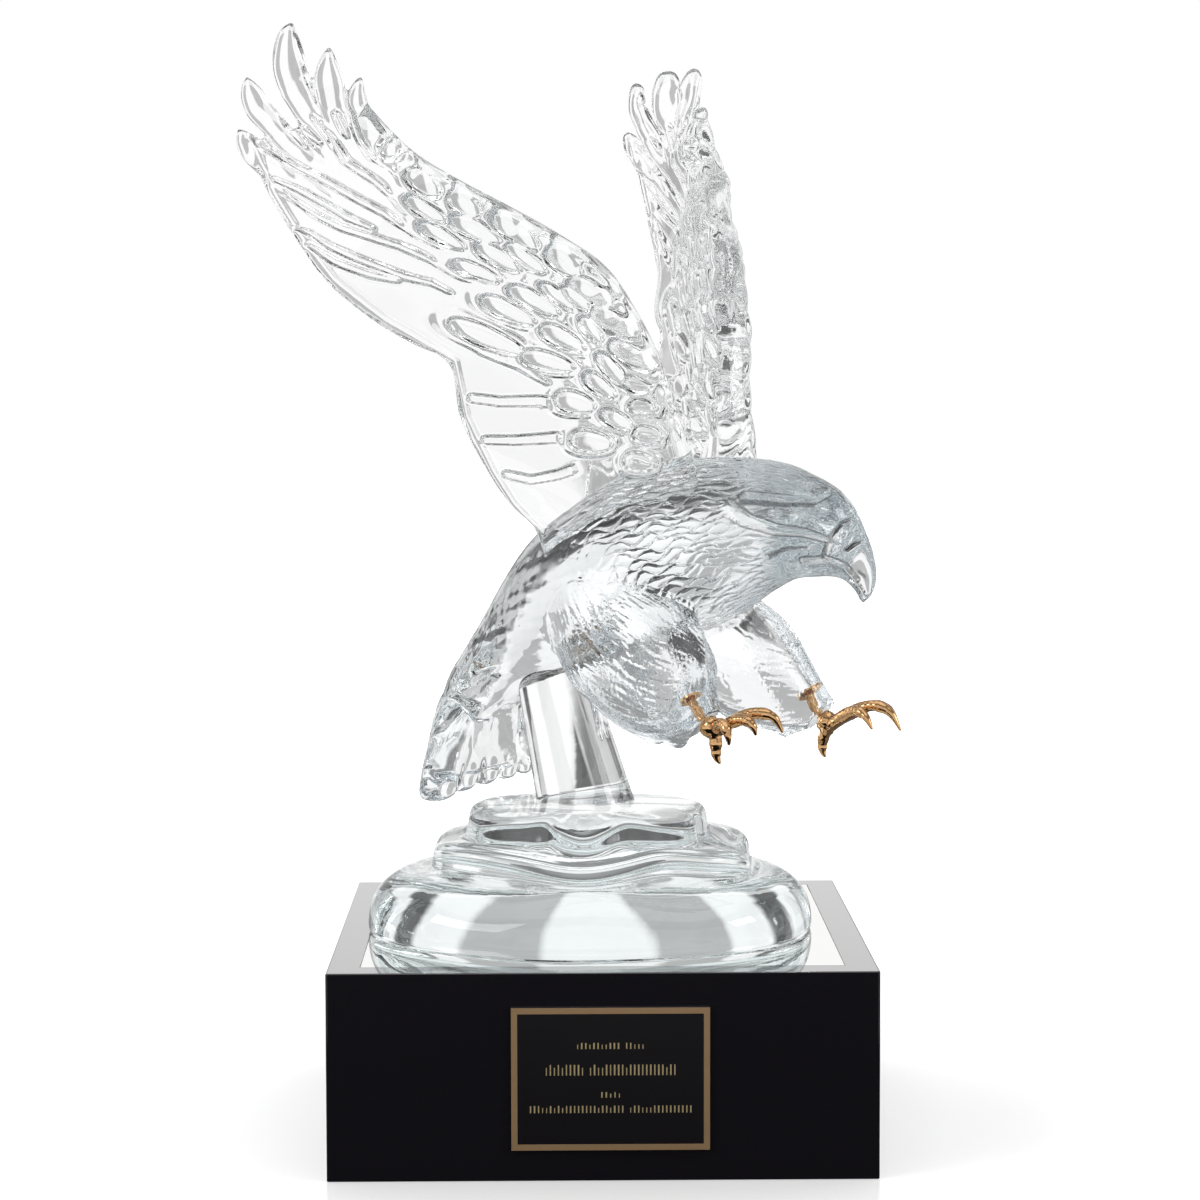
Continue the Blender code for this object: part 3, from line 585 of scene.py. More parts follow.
LOBES = (  # of each tier: place and half width round it in degrees, and how far the edge comes out there
    ((205, 20, 0.016), (238, 14, -0.018), (262, 12, 0.012), (290, 14, -0.014), (322, 16, 0.014),
     (120, 25, -0.01)),
    ((225, 16, 0.03), (262, 22, 0.05), (290, 9, -0.03), (318, 18, 0.05), (350, 14, -0.03), (90, 30, 0.03)),
    ((230, 12, 0.09), (251, 5, -0.09), (267, 11, 0.05), (288, 7, -0.07), (311, 12, 0.09), (334, 7, -0.06),
     (20, 16, 0.05), (75, 20, -0.04), (120, 18, 0.05), (180, 14, -0.05)),
)
RISES = (  # the same for how far its levels rise or dip, in mm
    ((212, 16, 2), (240, 13, -2.2), (268, 12, 1.6), (297, 14, -2.4), (330, 14, 1.8), (100, 30, -1.5)),
    ((222, 20, 1.5), (266, 17, -3.5), (296, 10, 1), (345, 22, -5), (180, 20, -2), (100, 30, -2)),
    ((269, 14, -5), (310, 14, -1.5)),
)
CALM_SIZES = (0.5, 0.95)  # a small ring is calm, and waves grow with its size
WAVES_FROM = 24.0  # below this height the level waves fade
ROCK_SIDES = 300
ROCK_RINGS = 130
ROCK_SOFT = 16


def softened(rings, rounds):
    """Round the tiers' corners: every ring is drawn towards the two beside it."""
    for _ in range(rounds):
        rings[1:-1] = (rings[:-2] + 2 * rings[1:-1] + rings[2:]) / 4
    return rings


def swells(turn, lobes):
    """Sum of smooth swellings at their places round a ring."""
    total = np.zeros_like(turn)
    for place, half, size in lobes:
        away = (np.degrees(turn) - place + 180) % 360 - 180
        total += size * np.exp(-(away / half) ** 2)
    return total


def rock_rings():
    turn = np.arange(ROCK_SIDES) * (FULL_TURN / ROCK_SIDES)
    c, s = np.cos(turn), np.sin(turn)
    levels = [(*TIERS[tier], size, height, *np.eye(3)[tier]) for tier, size, height in ROCK_LEVELS]
    lobes, rises = (np.array([swells(turn, rows) for rows in waves]) for waves in (LOBES, RISES))
    rings = []
    for x, y, half_x, half_y, square, size, height, *shares in through(levels, np.linspace(0, 1, ROCK_RINGS)):
        shares, wavy = np.clip(shares, 0, 1), ease(*CALM_SIZES, size)
        reach = size * (np.abs(c) ** square + np.abs(s) ** square) ** (-1 / square)
        reach = reach * (1 + wavy * shares @ lobes)
        z = ROCK_FOOT + height + wavy * shares @ rises * ease(0.0, WAVES_FROM, height)
        z = np.clip(z, ROCK_FOOT, ROCK_TOP)
        rings.append(np.stack([x + half_x * reach * c, y + half_y * reach * s, z], axis=1))
    return list(softened(np.array(rings), ROCK_SOFT))


rock = plain_mesh("glass_rock", *skin(rock_rings()))
place_piece("glass_rock", rock, ROCK_GLASS, "glass_base")

# %% [markdown]
# The bird is modelled in its own frame, with its heading along +X, and turned into place at the end. The head
# turns a little to its left: the midline bends over a short neck, and every section rides on that midline.

# %% The bird's own frame
BIRD_AT = (53.0, -12.0)
BIRD_HEADING = math.radians(-30.0)
HEAD_TURN = math.radians(18.0)
NECK_START = 10.0
NECK_LENGTH = 45.0


def to_world(points):
    c, s = math.cos(BIRD_HEADING), math.sin(BIRD_HEADING)
    x, y, z = np.asarray(points, float).T
    return np.stack([BIRD_AT[0] + x * c - y * s, BIRD_AT[1] + x * s + y * c, z], axis=1)


def to_bird(points):
    c, s = math.cos(BIRD_HEADING), math.sin(BIRD_HEADING)
    x, y, z = np.asarray(points, float).T
    x, y = x - BIRD_AT[0], y - BIRD_AT[1]
    return np.stack([x * c + y * s, -x * s + y * c, z], axis=1)


def midline(along):
    """Where a length along the bird's middle lies, and the direction to its left there."""
    along = np.asarray(along, float)
    rate = HEAD_TURN / NECK_LENGTH
    turned = np.clip(along - NECK_START, 0, NECK_LENGTH)
    angle = rate * turned
    straight = along - turned
    x = np.minimum(straight, NECK_START) + np.sin(angle) / rate
    y = (1 - np.cos(angle)) / rate
    past = np.maximum(straight - NECK_START, 0)
    x, y = x + past * np.cos(angle), y + past * np.sin(angle)
    zero = np.zeros_like(x)
    return np.stack([x, y, zero], -1), np.stack([-np.sin(angle), np.cos(angle), zero], -1)


def unturned(points):
    """Points of the bird as if its head looked straight ahead: along, to the left, up."""
    x, y, z = points.T
    radius = NECK_LENGTH / HEAD_TURN
    past = x - NECK_START
    angle = np.arctan2(past, radius - y)
    neck = NECK_START + angle * radius, radius - np.hypot(past, radius - y)
    c, s = math.cos(HEAD_TURN), math.sin(HEAD_TURN)
    past, aside = past - s * radius, y - (1 - c) * radius
    head = NECK_START + NECK_LENGTH + past * c + aside * s, aside * c - past * s
    flat = [np.where(x <= NECK_START, back, np.where(angle < HEAD_TURN, bent, ahead))
            for back, bent, ahead in zip((x, y), neck, head)]
    return np.stack([*flat, z], axis=1)


print("bird stands at", BIRD_AT, "mm and heads", round(math.degrees(BIRD_HEADING)), "degrees")

# %% [markdown]
# Trunk, head, tail and legs are one casting. Each form is a loft: a few sections, each given by its upper
# and lower point on the midline and half its width, with a smooth curve between them. The numbers are the
# bird's own sizes in millimetres.

# %% Sections of the trunk, tail and legs
BODY_SECTIONS = (  # upper point (along, up), lower point (along, up), half width
    (-134, 168, -110, 168, 23),
    (-126, 187, -97, 175, 27.5),
    (-113.5, 206, -83, 184, 29.5),
    (-89, 243, -47, 193.5, 33),
    (-55, 268.5, -17, 205, 35),
    (-33, 275.5, -2, 211, 34.5),
    (-13, 278, 10, 218, 32),
    (6, 278.5, 21, 225, 27.5),
    (23, 277, 32, 229.5, 22.5),
    (38, 272.5, 41.6, 230.5, 18),
    (49, 266.5, 47, 230.6, 14),
    (55.5, 259.5, 51, 229.5, 9.8),
    (60, 250, 54.5, 226.6, 7.2),
    (63.6, 240, 56.6, 224, 5.4),
    (64.8, 230, 57.6, 221.6, 3.6),
    (62.6, 222.6, 58.4, 219.6, 1.4),
)
TAIL_SECTIONS = (
    (-122, 190, -98, 180, 21),
    (-131, 171, -107, 170, 26),
    (-132, 155, -113, 155, 32),
    (-129, 142, -117, 142, 38),
)
RIGHT_THIGH = (  # to the side, front point (along, up), rear point (along, up), half thickness
    (-18, -52, 238, -72, 206, 17),
    (-25, -27, 230, -58, 186.5, 19),
    (-29, -6, 220.5, -45, 177, 18.5),
    (-33, 4, 208, -31, 169, 16.5),
    (-36, 11, 198, -18, 165, 14),
    (-38, 13, 187, -7, 165, 10.5),
    (-40, 16, 178.5, 5, 167.5, 7),
)
LEFT_THIGH = (
    (18, -40, 236, -60, 205, 17),
    (25, -15, 228, -45, 186, 19),
    (30, -2, 218, -29, 177, 18.5),
    (33.5, 11, 207, -12, 165.5, 16),
    (37, 21, 189.5, 4, 162, 11.5),
    (40, 30, 174.5, 18, 162, 6.5),
)
BROW = (  # along, to the side, up, half height, half width
    (24, 17.5, 262, 2, 2.5),
    (34, 16, 262.5, 3.2, 4),
    (43, 12.8, 259.5, 3.2, 3.6),
    (51, 9, 255, 1.6, 1.8),
)


def frames(upper, lower, left, half, grow):
    """Centres, half heights and half widths, as vectors, of rings between two lines."""
    up = (upper - lower) / 2
    return (upper + lower) / 2, up + unit(up) * grow, left * (half[:, None] + grow)


def trunk_frames(sections, count, grow=0.0):
    top_along, top_z, low_along, low_z, half = through(sections, np.linspace(0, 1, count)).T
    top, low = midline(top_along)[0], midline(low_along)[0]
    top[:, 2], low[:, 2] = top_z, low_z
    return frames(top, low, midline((top_along + low_along) / 2)[1], half, grow)


def thigh_frames(sections, count, grow=0.0):
    side, front, front_z, rear, rear_z, half = through(sections, np.linspace(0, 1, count)).T
    fore, aft = np.stack([front, side, front_z], -1), np.stack([rear, side, rear_z], -1)
    return frames(fore, aft, np.array([0.0, 1.0, 0.0]), half, grow)


def loft(drawn, sides, square):
    return skin([ring(centre, up, side, sides, square) for centre, up, side in zip(*drawn)])


TRUNK = trunk_frames(BODY_SECTIONS, 120)
print("trunk sections:", len(BODY_SECTIONS), "drawn as", len(TRUNK[0]), "rings")

# %% [markdown]
# The tail ends in broad flat feathers, and locks of feathers hang from the rear of each thigh. Both repeat,
# so each kind is a loop: a tail feather is a flat loft, narrower than the one before, and a lock is a short
# pointed loft set along the thigh. A ridge over each eye gives the bird its stern look.

# %% Tail feathers, locks and brows
LOBE_COUNT = 5
LOBE_RIGHT = -45.0  # the fan's right edge, to the side
LOBE_WIDTH = 26.0
LOBE_LOSS = 4.4  # each feather is this much narrower than the one to its right
LOBE_THICK = 14.0
LOBE_TIP = 131.6
LOBE_RISE = 0.9
TUFT_PLACES = np.linspace(0.3, 0.8, 4)  # along the thigh
TUFT_LONG = 10.0
TUFT_DRIFT = (3.15, 0, -2.25)
TUFT_DEEP = 6.5
TUFT_WIDE = 0.6  # of the thigh's half thickness
TUFT_SWELL = (0.9, 1.0, 0.86, 0.3)


def tail_lobes():
    """Broad flat feathers side by side."""
    skins, edge = [], LOBE_RIGHT
    for number in range(LOBE_COUNT):
        wide, end, thick = LOBE_WIDTH - LOBE_LOSS * number, LOBE_TIP + LOBE_RISE * number, LOBE_THICK
        side = edge + wide / 2
        edge += wide
        rows = (  # along, to the side, up, half width, half thickness, how far the fan's sides come forward
            (-115.0, 0.42 * side, 184.0, 0.26 * wide, 0.5 * thick, 0.0),
            (-122.5, 0.66 * side, 166.0, 0.40 * wide, 0.56 * thick, 0.008),
            (-125.0, 0.86 * side, 149.0, 0.50 * wide, 0.48 * thick, 0.006),
            (-125.0, side, end + 5.0, 0.49 * wide, 0.34 * thick, 0.0036),
            (-125.0, side, end + 1.4, 0.38 * wide, 0.24 * thick, 0.0036),
            (-125.0, side, end, 0.14 * wide, 0.1 * thick, 0.0036),
        )
        values = through(rows, np.linspace(0, 1, 30))
        skins.append(skin([ring((along + curve * out ** 2, out, up), (deep, 0, 0), (0, half, 0), 28, 2.3)
                           for along, out, up, half, deep, curve in values]))
    return skins


def tufts(sections):
    """Pointed locks along the rear underside of a thigh."""
    skins, spots = [], np.linspace(0, 1, 12)
    swell = through(TUFT_SWELL, spots)[:, 0]
    for side, front, front_z, rear, rear_z, half in through(sections, TUFT_PLACES):
        down = unit(np.array([rear - front, 0, rear_z - front_z]))
        root = np.array([rear, side, rear_z]) - down * TUFT_LONG
        drift = down * TUFT_LONG + np.array(TUFT_DRIFT)
        across = np.array([-down[2], 0, down[0]]) * TUFT_DEEP
        skins.append(skin([ring(root + drift * step, across * wide, (0, half * TUFT_WIDE * wide, 0), 20)
                           for step, wide in zip(spots, swell)]))
    return skins


def brow_ridge(mark):
    rings = []
    for along, out, up, high, wide in through(BROW, np.linspace(0, 1, 16)):
        place, left = midline(along)
        rings.append(ring(place + left * (out * mark) + np.array([0, 0, up]), (0, 0, high), left * wide, 16))
    return skin(rings)


print(LOBE_COUNT, "tail feathers and", len(TUFT_PLACES), "locks on each thigh")

# %% [markdown]
# Feathers are carved as shallow leaves. To lay them along the bird's flow they need places on its skin, so
# this cell turns a point into how far along a loft it lies, how far round, and how far from the axis. A leaf
# field then sets almond shapes in staggered rows, each turned and stretched a little differently.

# %% Places on a loft, and fields of leaves
LOFT_SQUARE = 2.2
FAR_OUT = 9.0  # where there is no leaf
LEAF_SHIFT = (0.3, 0.35)  # by how much of a step a leaf may stray across and along
LEAF_LEAN = 0.22
LEAF_WIDTHS = (0.85, 0.3)  # the narrowest, and how much wider the widest is
FEWEST_LEAVES = 6


def run_along(line):
    """How far along a line each of its points lies, in mm."""
    return np.concatenate([[0], np.cumsum(np.linalg.norm(np.diff(line, axis=0), axis=1))])


def on_loft(points, drawn):
    """Along a loft (0 to 1), round it (radians), out from its axis (1 is its skin), and two lengths in mm:
    the way run along it, and half its height and width together."""
    centres, ups, sides = drawn
    ahead = unit(np.cross(sides, ups))
    if ((centres[-1] - centres[0]) @ ahead[len(ahead) // 2]) < 0:
        ahead = -ahead
    past = points @ ahead.T - (centres * ahead).sum(1)
    last = len(centres) - 1
    upper = np.clip((past > 0).sum(1), 1, last)
    rows = np.arange(len(points))
    before, after = past[rows, upper - 1], past[rows, upper]
    gap = before - after
    f = np.clip(before / np.where(np.abs(gap) < 1e-6, 1e-6, gap), 0, 1)[:, None]
    centre, up, side = (part[upper - 1] * (1 - f) + part[upper] * f for part in (centres, ups, sides))
    away = points - centre
    high = (away * up).sum(1) / (up * up).sum(1)
    wide = (away * side).sum(1) / (side * side).sum(1)
    out = (np.abs(high) ** LOFT_SQUARE + np.abs(wide) ** LOFT_SQUARE) ** (1 / LOFT_SQUARE)
    place, spots = (upper - 1 + f[:, 0]) / last, np.linspace(0, 1, last + 1)
    halves = np.linalg.norm(ups, axis=1) + np.linalg.norm(sides, axis=1)
    run, half = np.interp(place, spots, run_along(centres)), np.interp(place, spots, halves)
    return place, np.arctan2(wide, high), out, run, half


def chance(one, two, seed):
    """A fixed number from 0 to 1 for each pair of whole numbers."""
    value = np.sin(one * 12.9898 + two * 78.233 + seed * 37.719) * 43758.5453
    return value - np.floor(value)


def leaves(run, round_share, girth, row_step, column_step, half_long, half_wide, seed):
    """How high a field of leaves stands: 1 on a leaf's midrib, and 0 from its edge outwards."""
    best = np.full(run.shape, FAR_OUT)
    row = np.floor(run / row_step)
    columns = np.maximum(FEWEST_LEAVES, np.round(girth / column_step))
    for own in (row - 1, row, row + 1):
        at = round_share * columns - 0.5 * (own % 2)
        number = np.round(at)
        lucky, other = (chance(own, number % columns, seed + more) for more in (0, 5))
        across = (at - number) * girth / columns + (lucky - 0.5) * LEAF_SHIFT[0] * column_step
        along = run - (own + 0.5) * row_step + (other - 0.5) * LEAF_SHIFT[1] * row_step
        across = across + (lucky - 0.5) * LEAF_LEAN * along
        narrowing = np.maximum(0.02, 1 - (along / half_long) ** 2)
        half = half_wide * (LEAF_WIDTHS[0] + LEAF_WIDTHS[1] * lucky) * narrowing
        best = np.minimum(best, np.where(np.abs(along) < half_long, np.abs(across) / half, FAR_OUT))
    return np.clip(1 - best ** 2, 0, 1)


def near_line(flat, line):
    """Distance from places in a plane to a drawn line, and how far along it the nearest point is."""
    line = np.asarray(line, float)
    starts = run_along(line)
    best, along = np.full(len(flat), 1e9), np.zeros(len(flat))
    for a, b, start, end in zip(line, line[1:], starts, starts[1:]):
        f = np.clip(((flat - a) @ (b - a)) / (end - start) ** 2, 0, 1)
        miss = np.linalg.norm(flat - (a + f[:, None] * (b - a)), axis=1)
        along = np.where(miss < best, (start + f * (end - start)) / starts[-1], along)
        best = np.minimum(best, miss)
    return best, along


print("leaf fields ready")

# %% [markdown]
# The neck, back and breast wear almond-shaped feathers in slanting rows. They could be single leaves, but
# almonds that touch at their tips are one lattice, so one formula gives them all. It is used twice: the mesh
# takes their swelling, and the glass adds their crisp edges, which are finer than the mesh's cells. For the
# second use the lattice is kept on the mesh as a map, and a node group works out the same almonds from it.

# %% Almond feathers
LEAF_RISE = 0.8  # in the mesh
LEAF_CRISP = 0.8  # what the glass adds to it, sharper than the mesh can be
LEAF_COLUMNS = 38
LEAF_LONG = 12.4
LEAF_LENS = 0.8
LEAF_ROUND = 0.6
LEAF_TIP = 0.03  # keeps the formula from dividing by nothing at a tip
HIDDEN_SHARE = 0.08  # how strong the carving is on the side turned away
EDGE_AT = 0.72  # an almond's line of painted shade runs inside its rim
EDGE_HALF = 0.24
SWAYS = ((1.5, 9.0, 3.0), (1.2, 5.3, -5.0))  # how the rows wander: how far, over what length, how often round
SHARE_SWAYS = ((0.004, 4.1, 7.0), (0.003, 2.3, -11.0))


def trunk_places(points):
    """Where each point lies on the trunk: section, way round, distance run, share of the girth, half height
    and width, and whether it is on the trunk's skin at all."""
    place, turn, out, run, half = on_loft(points, TRUNK)
    on_trunk = 1 - ease(0.05, 0.14, np.abs(out - 1))
    return place * (len(BODY_SECTIONS) - 1), turn, run, turn / FULL_TURN + 0.5, half, on_trunk


def shown(seen):
    """How much of its carving a place keeps: all of it in view, little on the side turned away."""
    return HIDDEN_SHARE + (1 - HIDDEN_SHARE) * ease(-0.15, 0.1, seen)


def sway(run, turn, waves):
    return sum(size * np.sin(run / long + turns * turn) for size, long, turns in waves)


def almond_rows(points):
    """Each point's place in the almonds' lattice, and how strongly they are carved there."""
    section, turn, run, share, _, on_trunk = trunk_places(points)
    amount = ease(3.4, 4.8, section) * (1 - ease(7.8, 8.5, section - 0.6 * np.cos(turn))) * on_trunk
    along = (run + sway(run, turn, SWAYS)) / LEAF_LONG
    return along, (share + sway(run, turn, SHARE_SWAYS)) * LEAF_COLUMNS, amount


def almond_domes(along, across):
    """How far an almond stands up in the lattice, from 0 between almonds to 1 on a midrib."""
    one, two = along + across, along - across
    one, two = one - np.floor(one) - 0.5, two - np.floor(two) - 0.5
    inside = np.abs(one - two) / (LEAF_LENS * np.maximum(1 - (one + two) ** 2, LEAF_TIP))
    return np.clip(1 - inside ** 2, 0, 1) ** LEAF_ROUND


def almond_group():
    """The same almonds as nodes: their height in millimetres, and the line inside their rim where shade is
    painted.
    """
    group, given, end = new_group("almond feathers", {"Rows": None, "Width": LEAF_LENS, "Rise": LEAF_CRISP},
                                  {"Height": 0.0, "Edge": 0.0})
    calc = partial(maths, group)
    rows = add(group, "SeparateXYZ", {0: given["Rows"]}).outputs
    one, two = (calc("SUBTRACT", calc("FRACT", calc(way, rows[0], rows[1])), 0.5)
                for way in ("ADD", "SUBTRACT"))
    along, across = calc("ADD", one, two), calc("ABSOLUTE", calc("SUBTRACT", one, two))
    lens = calc("MAXIMUM", calc("SUBTRACT", 1.0, calc("MULTIPLY", along, along)), LEAF_TIP)
    inside = calc("DIVIDE", across, calc("MULTIPLY", lens, given["Width"]))
    dome = calc("MAXIMUM", calc("SUBTRACT", 1.0, calc("MULTIPLY", inside, inside)), 0.0)
    # the line where shade is painted, inside each almond's rim
    off = calc("ABSOLUTE", calc("SUBTRACT", inside, EDGE_AT))
    feed(group, end, {"Height": calc("MULTIPLY", calc("POWER", dome, LEAF_ROUND), given["Rise"]),
                      "Edge": steps(group, off, 0.0, EDGE_HALF, 1.0, 0.0)})
    return group


def keep(mesh, name, values):
    """Keep a value of each point on the mesh, for the finish to read."""
    mesh.attributes.new(name, "FLOAT", "POINT").data.foreach_set("value", values.astype(np.float32))


def store_rows(mesh, along, across, amount):
    """Keep the lattice on the mesh: as a map on its corners, whole at the seam under the belly."""
    corners = read(mesh.loops, "vertex_index", kind=int)
    starts = read(mesh.polygons, "loop_start", kind=int)
    face = np.repeat(np.arange(len(starts)), np.diff(np.append(starts, len(corners))))
    value = across[corners]
    value += LEAF_COLUMNS * (np.maximum.reduceat(value, starts)[face] - value > LEAF_COLUMNS / 2)
    flat = np.column_stack([along[corners], value]).astype(np.float32)
    mesh.uv_layers.new(name="almond rows").data.foreach_set("uv", flat.ravel())
    keep(mesh, "almond amount", amount)


print("almonds:", LEAF_COLUMNS, "round the trunk, each", LEAF_LONG, "mm long")

# %% [markdown]
# The head is smooth but for its lines: the cheek ridge, the line under the brow, the root of the beak, the
# mouth, the nostril and the eye. They are drawn as they are seen from the side and pressed in or raised. In a
# solid head light bounces so often that shallow lines drown in it, so they are cut deep, and painted shade
# in them, a darker colour in the glass, lets less light through. The same painted shade greys the almonds'
# lines.

# %% Lines of the head
HEAD_FEATURES = (  # a line on the side of the head (along, up), half width at its two ends, height
    (((13, 259.5), (20, 254.5), (29.5, 251), (39.7, 249.6), (47.5, 246.6)), (2.9, 0.9), 1.5),
    (((17, 261.8), (30, 260.8), (42.5, 260.2)), (0.9, 0.7), -1.6),
    (((18, 264.2), (30, 263.2), (42.5, 262.6), (46, 265)), (1.3, 0.9), 1.1),
    (((56.6, 256), (52, 253.2), (48, 247.2), (45.5, 240)), (1, 1), -1.1),
    (((40.5, 235.6), (47, 236.2), (51, 234.2), (55.6, 229), (60, 222.6)), (0.9, 0.7), -1.5),
    (((38.5, 238.2), (47, 238.6), (52.6, 235.8), (57.2, 230.4)), (1.2, 0.8), 0.9),
    (((53.6, 242.3), (56.6, 244.6), (59.2, 246.2)), (1.1, 0.7), -1.5),
    (((27, 240), (33, 243), (40, 243.5)), (1.2, 0.7), -0.9),
)
HEAD_DEPTH = 2.6
PAINTED_LINE_SHADE = 0.17  # how much light the glass lets through where shade is painted in the head's lines
PAINTED_EDGE_SHADE = 0.45  # an almond's line gets less painted shade than a line of the head
LINE_RIM = 0.45  # beside a raised line the painted shade lies just outside it, mm
EYE = (28.5, 257.4)
EYE_HALF = (8.0, 2.6)
EYE_DEEP = 1.5
BALL_AHEAD = 1.0  # the eyeball sits a little forward of the eye's middle
BALL_HALF = 2.8
BALL_RISE = 1.4


def head_lines(points, normals):
    """Height of the lines of the head, and how much shade is painted into the glass there."""
    straight = unturned(points)
    flat = straight[:, [0, 2]]
    on_side = ease(0.15, 0.5, np.abs(normals[:, 1])) * ease(9.0, 15.0, straight[:, 0]) * (points[:, 2] > 215)
    height, shade = np.zeros(len(points)), np.zeros(len(points))
    for line, halves, rise in HEAD_FEATURES:
        miss, along = near_line(flat, line)
        half = halves[0] + (halves[1] - halves[0]) * along
        height += HEAD_DEPTH * rise * (1 - ease(0.4, 1.15, miss / half))
        # painted shade: inside a pressed-in line, and just outside a raised one
        edge = miss / half if rise < 0 else np.abs(miss - half - LINE_RIM) / 0.5
        shade = np.maximum(shade, 1 - ease(0.5, 1.1, edge))
    away = flat - EYE
    eye = np.hypot(*(away / EYE_HALF).T)
    ball = np.hypot(away[:, 0] - BALL_AHEAD, away[:, 1])
    height += BALL_RISE * np.clip(1 - (ball / BALL_HALF) ** 2, 0, 1) - EYE_DEEP * (1 - ease(0.5, 1.0, eye))
    # painted shade in the eye, round the eyeball
    shade = np.maximum(shade, 0.7 * (1 - ease(0.7, 1.0, eye)) * ease(1.6, 2.3, ball))
    return height * on_side, shade * on_side


def carve_almonds(made):
    """Lay the almonds over a glass, before its own waviness, and paint a little shade into their lines and
    the head's.
    """
    tree = made.node_tree
    calc = partial(maths, tree)
    shader = tree.nodes["Principled BSDF"]
    amount, lines = (add(tree, "Attribute", attribute_name=name).outputs["Fac"]
                     for name in ("almond amount", "painted line shade"))
    rows = add(tree, "UVMap", uv_map="almond rows").outputs[0]
    leaf = add(tree, "Group", {"Rows": rows}, node_tree=almond_group())
    wave = shader.inputs["Normal"].links[0].from_socket
    height = calc("MULTIPLY", leaf.outputs["Height"], amount)
    bump = add(tree, "Bump", {"Distance": MM, "Height": height, "Normal": wave})
    # painted shade on each almond's line
    edge = calc("MULTIPLY", calc("MULTIPLY", leaf.outputs["Edge"], amount), PAINTED_EDGE_SHADE)
    # the painted shade darkens the glass's colour, so it lets less light through
    clear = steps(tree, calc("MAXIMUM", lines, edge), 0.0, 1.0, 1.0, PAINTED_LINE_SHADE)
    feed(tree, shader, {"Normal": bump.outputs[0], "Base Color": clear})


carve_almonds(BODY_GLASS)
print(len(HEAD_FEATURES), "lines on the head")

# %% [markdown]
# Now the body itself. The lofts are melted together and the cells of the carved parts are made finer. Then
# the relief goes on: almonds on the neck, back and breast, long faint strokes on the flank, small facets on
# the tail and dense hair-like lines down the legs. The side turned away gets the same carving, only much
# fainter, because it would show through the glass and blur the side in view.

# %% Carve the body
BODY_CELL = 1.5
SEEN_ENOUGH = 0.05  # how squarely a place has to face the viewer to get finer cells
CARVED_FROM = (-62.0, 163.0)  # the neck, breast and legs: along and up
FACE_BOX = (20.0, 218.0, 267.0)  # the eye, the cheek and the beak: along from, and up between
STROKES = (15.0, 6.0, 17.0, 2.6, 3)  # row and column steps, half length and width, seed
STROKE_RISE = 0.45
FACETS = (13.0, 4.4, 15.0, 1.8, 9)
FACET_RISE = 0.55
FACET_FIELD = 120.0  # the width over which they are laid
TAIL_TOP = 170.0
HAIRS = (9.0, 2.9, 12.5, 1.3, 7)
HAIR_RISE = 0.5
HAIR_GIRTH = 3.3  # a thigh's girth is this many times its half height and half width together


def seen_from(points, normals):
    """How squarely each place faces the viewer, from 1 to -1."""
    sight = to_bird([CAMERA_AT])[0] - points
    return (sight * normals).sum(1) / np.linalg.norm(sight, axis=1)


def carved_part(points):
    return (points[:, 0] > CARVED_FROM[0]) & (points[:, 2] > CARVED_FROM[1])


def face_part(points):
    return (points[:, 0] > FACE_BOX[0]) & (points[:, 2] > FACE_BOX[1]) & (points[:, 2] < FACE_BOX[2])


def body_relief(points, normals, seen):
    section, turn, run, share, half, on_trunk = trunk_places(points)
    strokes = leaves(run, share, math.pi * half, *STROKES)
    height = STROKE_RISE * strokes * (1 - ease(3.2, 4.6, section)) * on_trunk

    girth = np.full(len(points), FACET_FIELD)
    facets = leaves(points[:, 2], 0.5 + points[:, 1] / FACET_FIELD, girth, *FACETS)
    tail = np.clip(ease(1.6, 0.6, section) + (points[:, 2] < TAIL_TOP), 0, 1)
    height += FACET_RISE * facets * tail * ease(0.1, 0.5, -normals[:, 0])

    for sections in (RIGHT_THIGH, LEFT_THIGH):
        place, turn, out, run, half = on_loft(points, thigh_frames(sections, 60))
        on_thigh = (1 - ease(0.06, 0.2, np.abs(out - 1))) * ease(0.01, 0.05, place)
        hairs = leaves(run, turn / FULL_TURN + 0.5, HAIR_GIRTH * half, *HAIRS)
        height = height * (1 - on_thigh) + on_thigh * HAIR_RISE * hairs
    along, across, amount = almond_rows(points)
    height += LEAF_RISE * almond_domes(along, across) * amount
    return (height + head_lines(points, normals)[0]) * shown(seen)


def body_skins():
    skins = [loft(TRUNK, 96, 2.15), loft(trunk_frames(TAIL_SECTIONS, 30), 60, 3.0), *tail_lobes()]
    for sections in (RIGHT_THIGH, LEFT_THIGH):
        skins += [loft(thigh_frames(sections, 50), 60, 2.3), *tufts(sections)]
    return skins + [brow_ridge(1), brow_ridge(-1)]


def build_body():
    points, faces = melt("eagle_body", body_skins(), BODY_CELL)
    for part in (carved_part, face_part):
        finer = (seen_from(points, normals_of(points, faces)) > SEEN_ENOUGH) & part(points)
        points, faces = refine(points, faces, finer[faces].all(1))
        points = relax(points, faces, 2)
    normals = normals_of(points, faces)
    shade = head_lines(points, normals)[1]
    points = points + normals * body_relief(points, normals, seen_from(points, normals))[:, None]
    mesh = plain_mesh("glass_eagle", to_world(points), faces)
    along, across, amount = almond_rows(points)
    store_rows(mesh, along, across, amount * shown(seen_from(points, normals)))
    # the painted shade of the head's lines, kept on the mesh for the glass
    keep(mesh, "painted line shade", shade)
    place_piece("glass_eagle", mesh, BODY_GLASS, "eagle_body")


build_body()

# %% [markdown]
# A wing is a thick plate that thins towards its rear edge and ends in free fingers. Its outer face is smooth
# and its inner face carries all the feathers, so from outside they are seen through the glass. It is easiest
# to build lying flat, as out, up and inwards, where a feather is only a height, and to bend it and stand it
# on the shoulder afterwards.

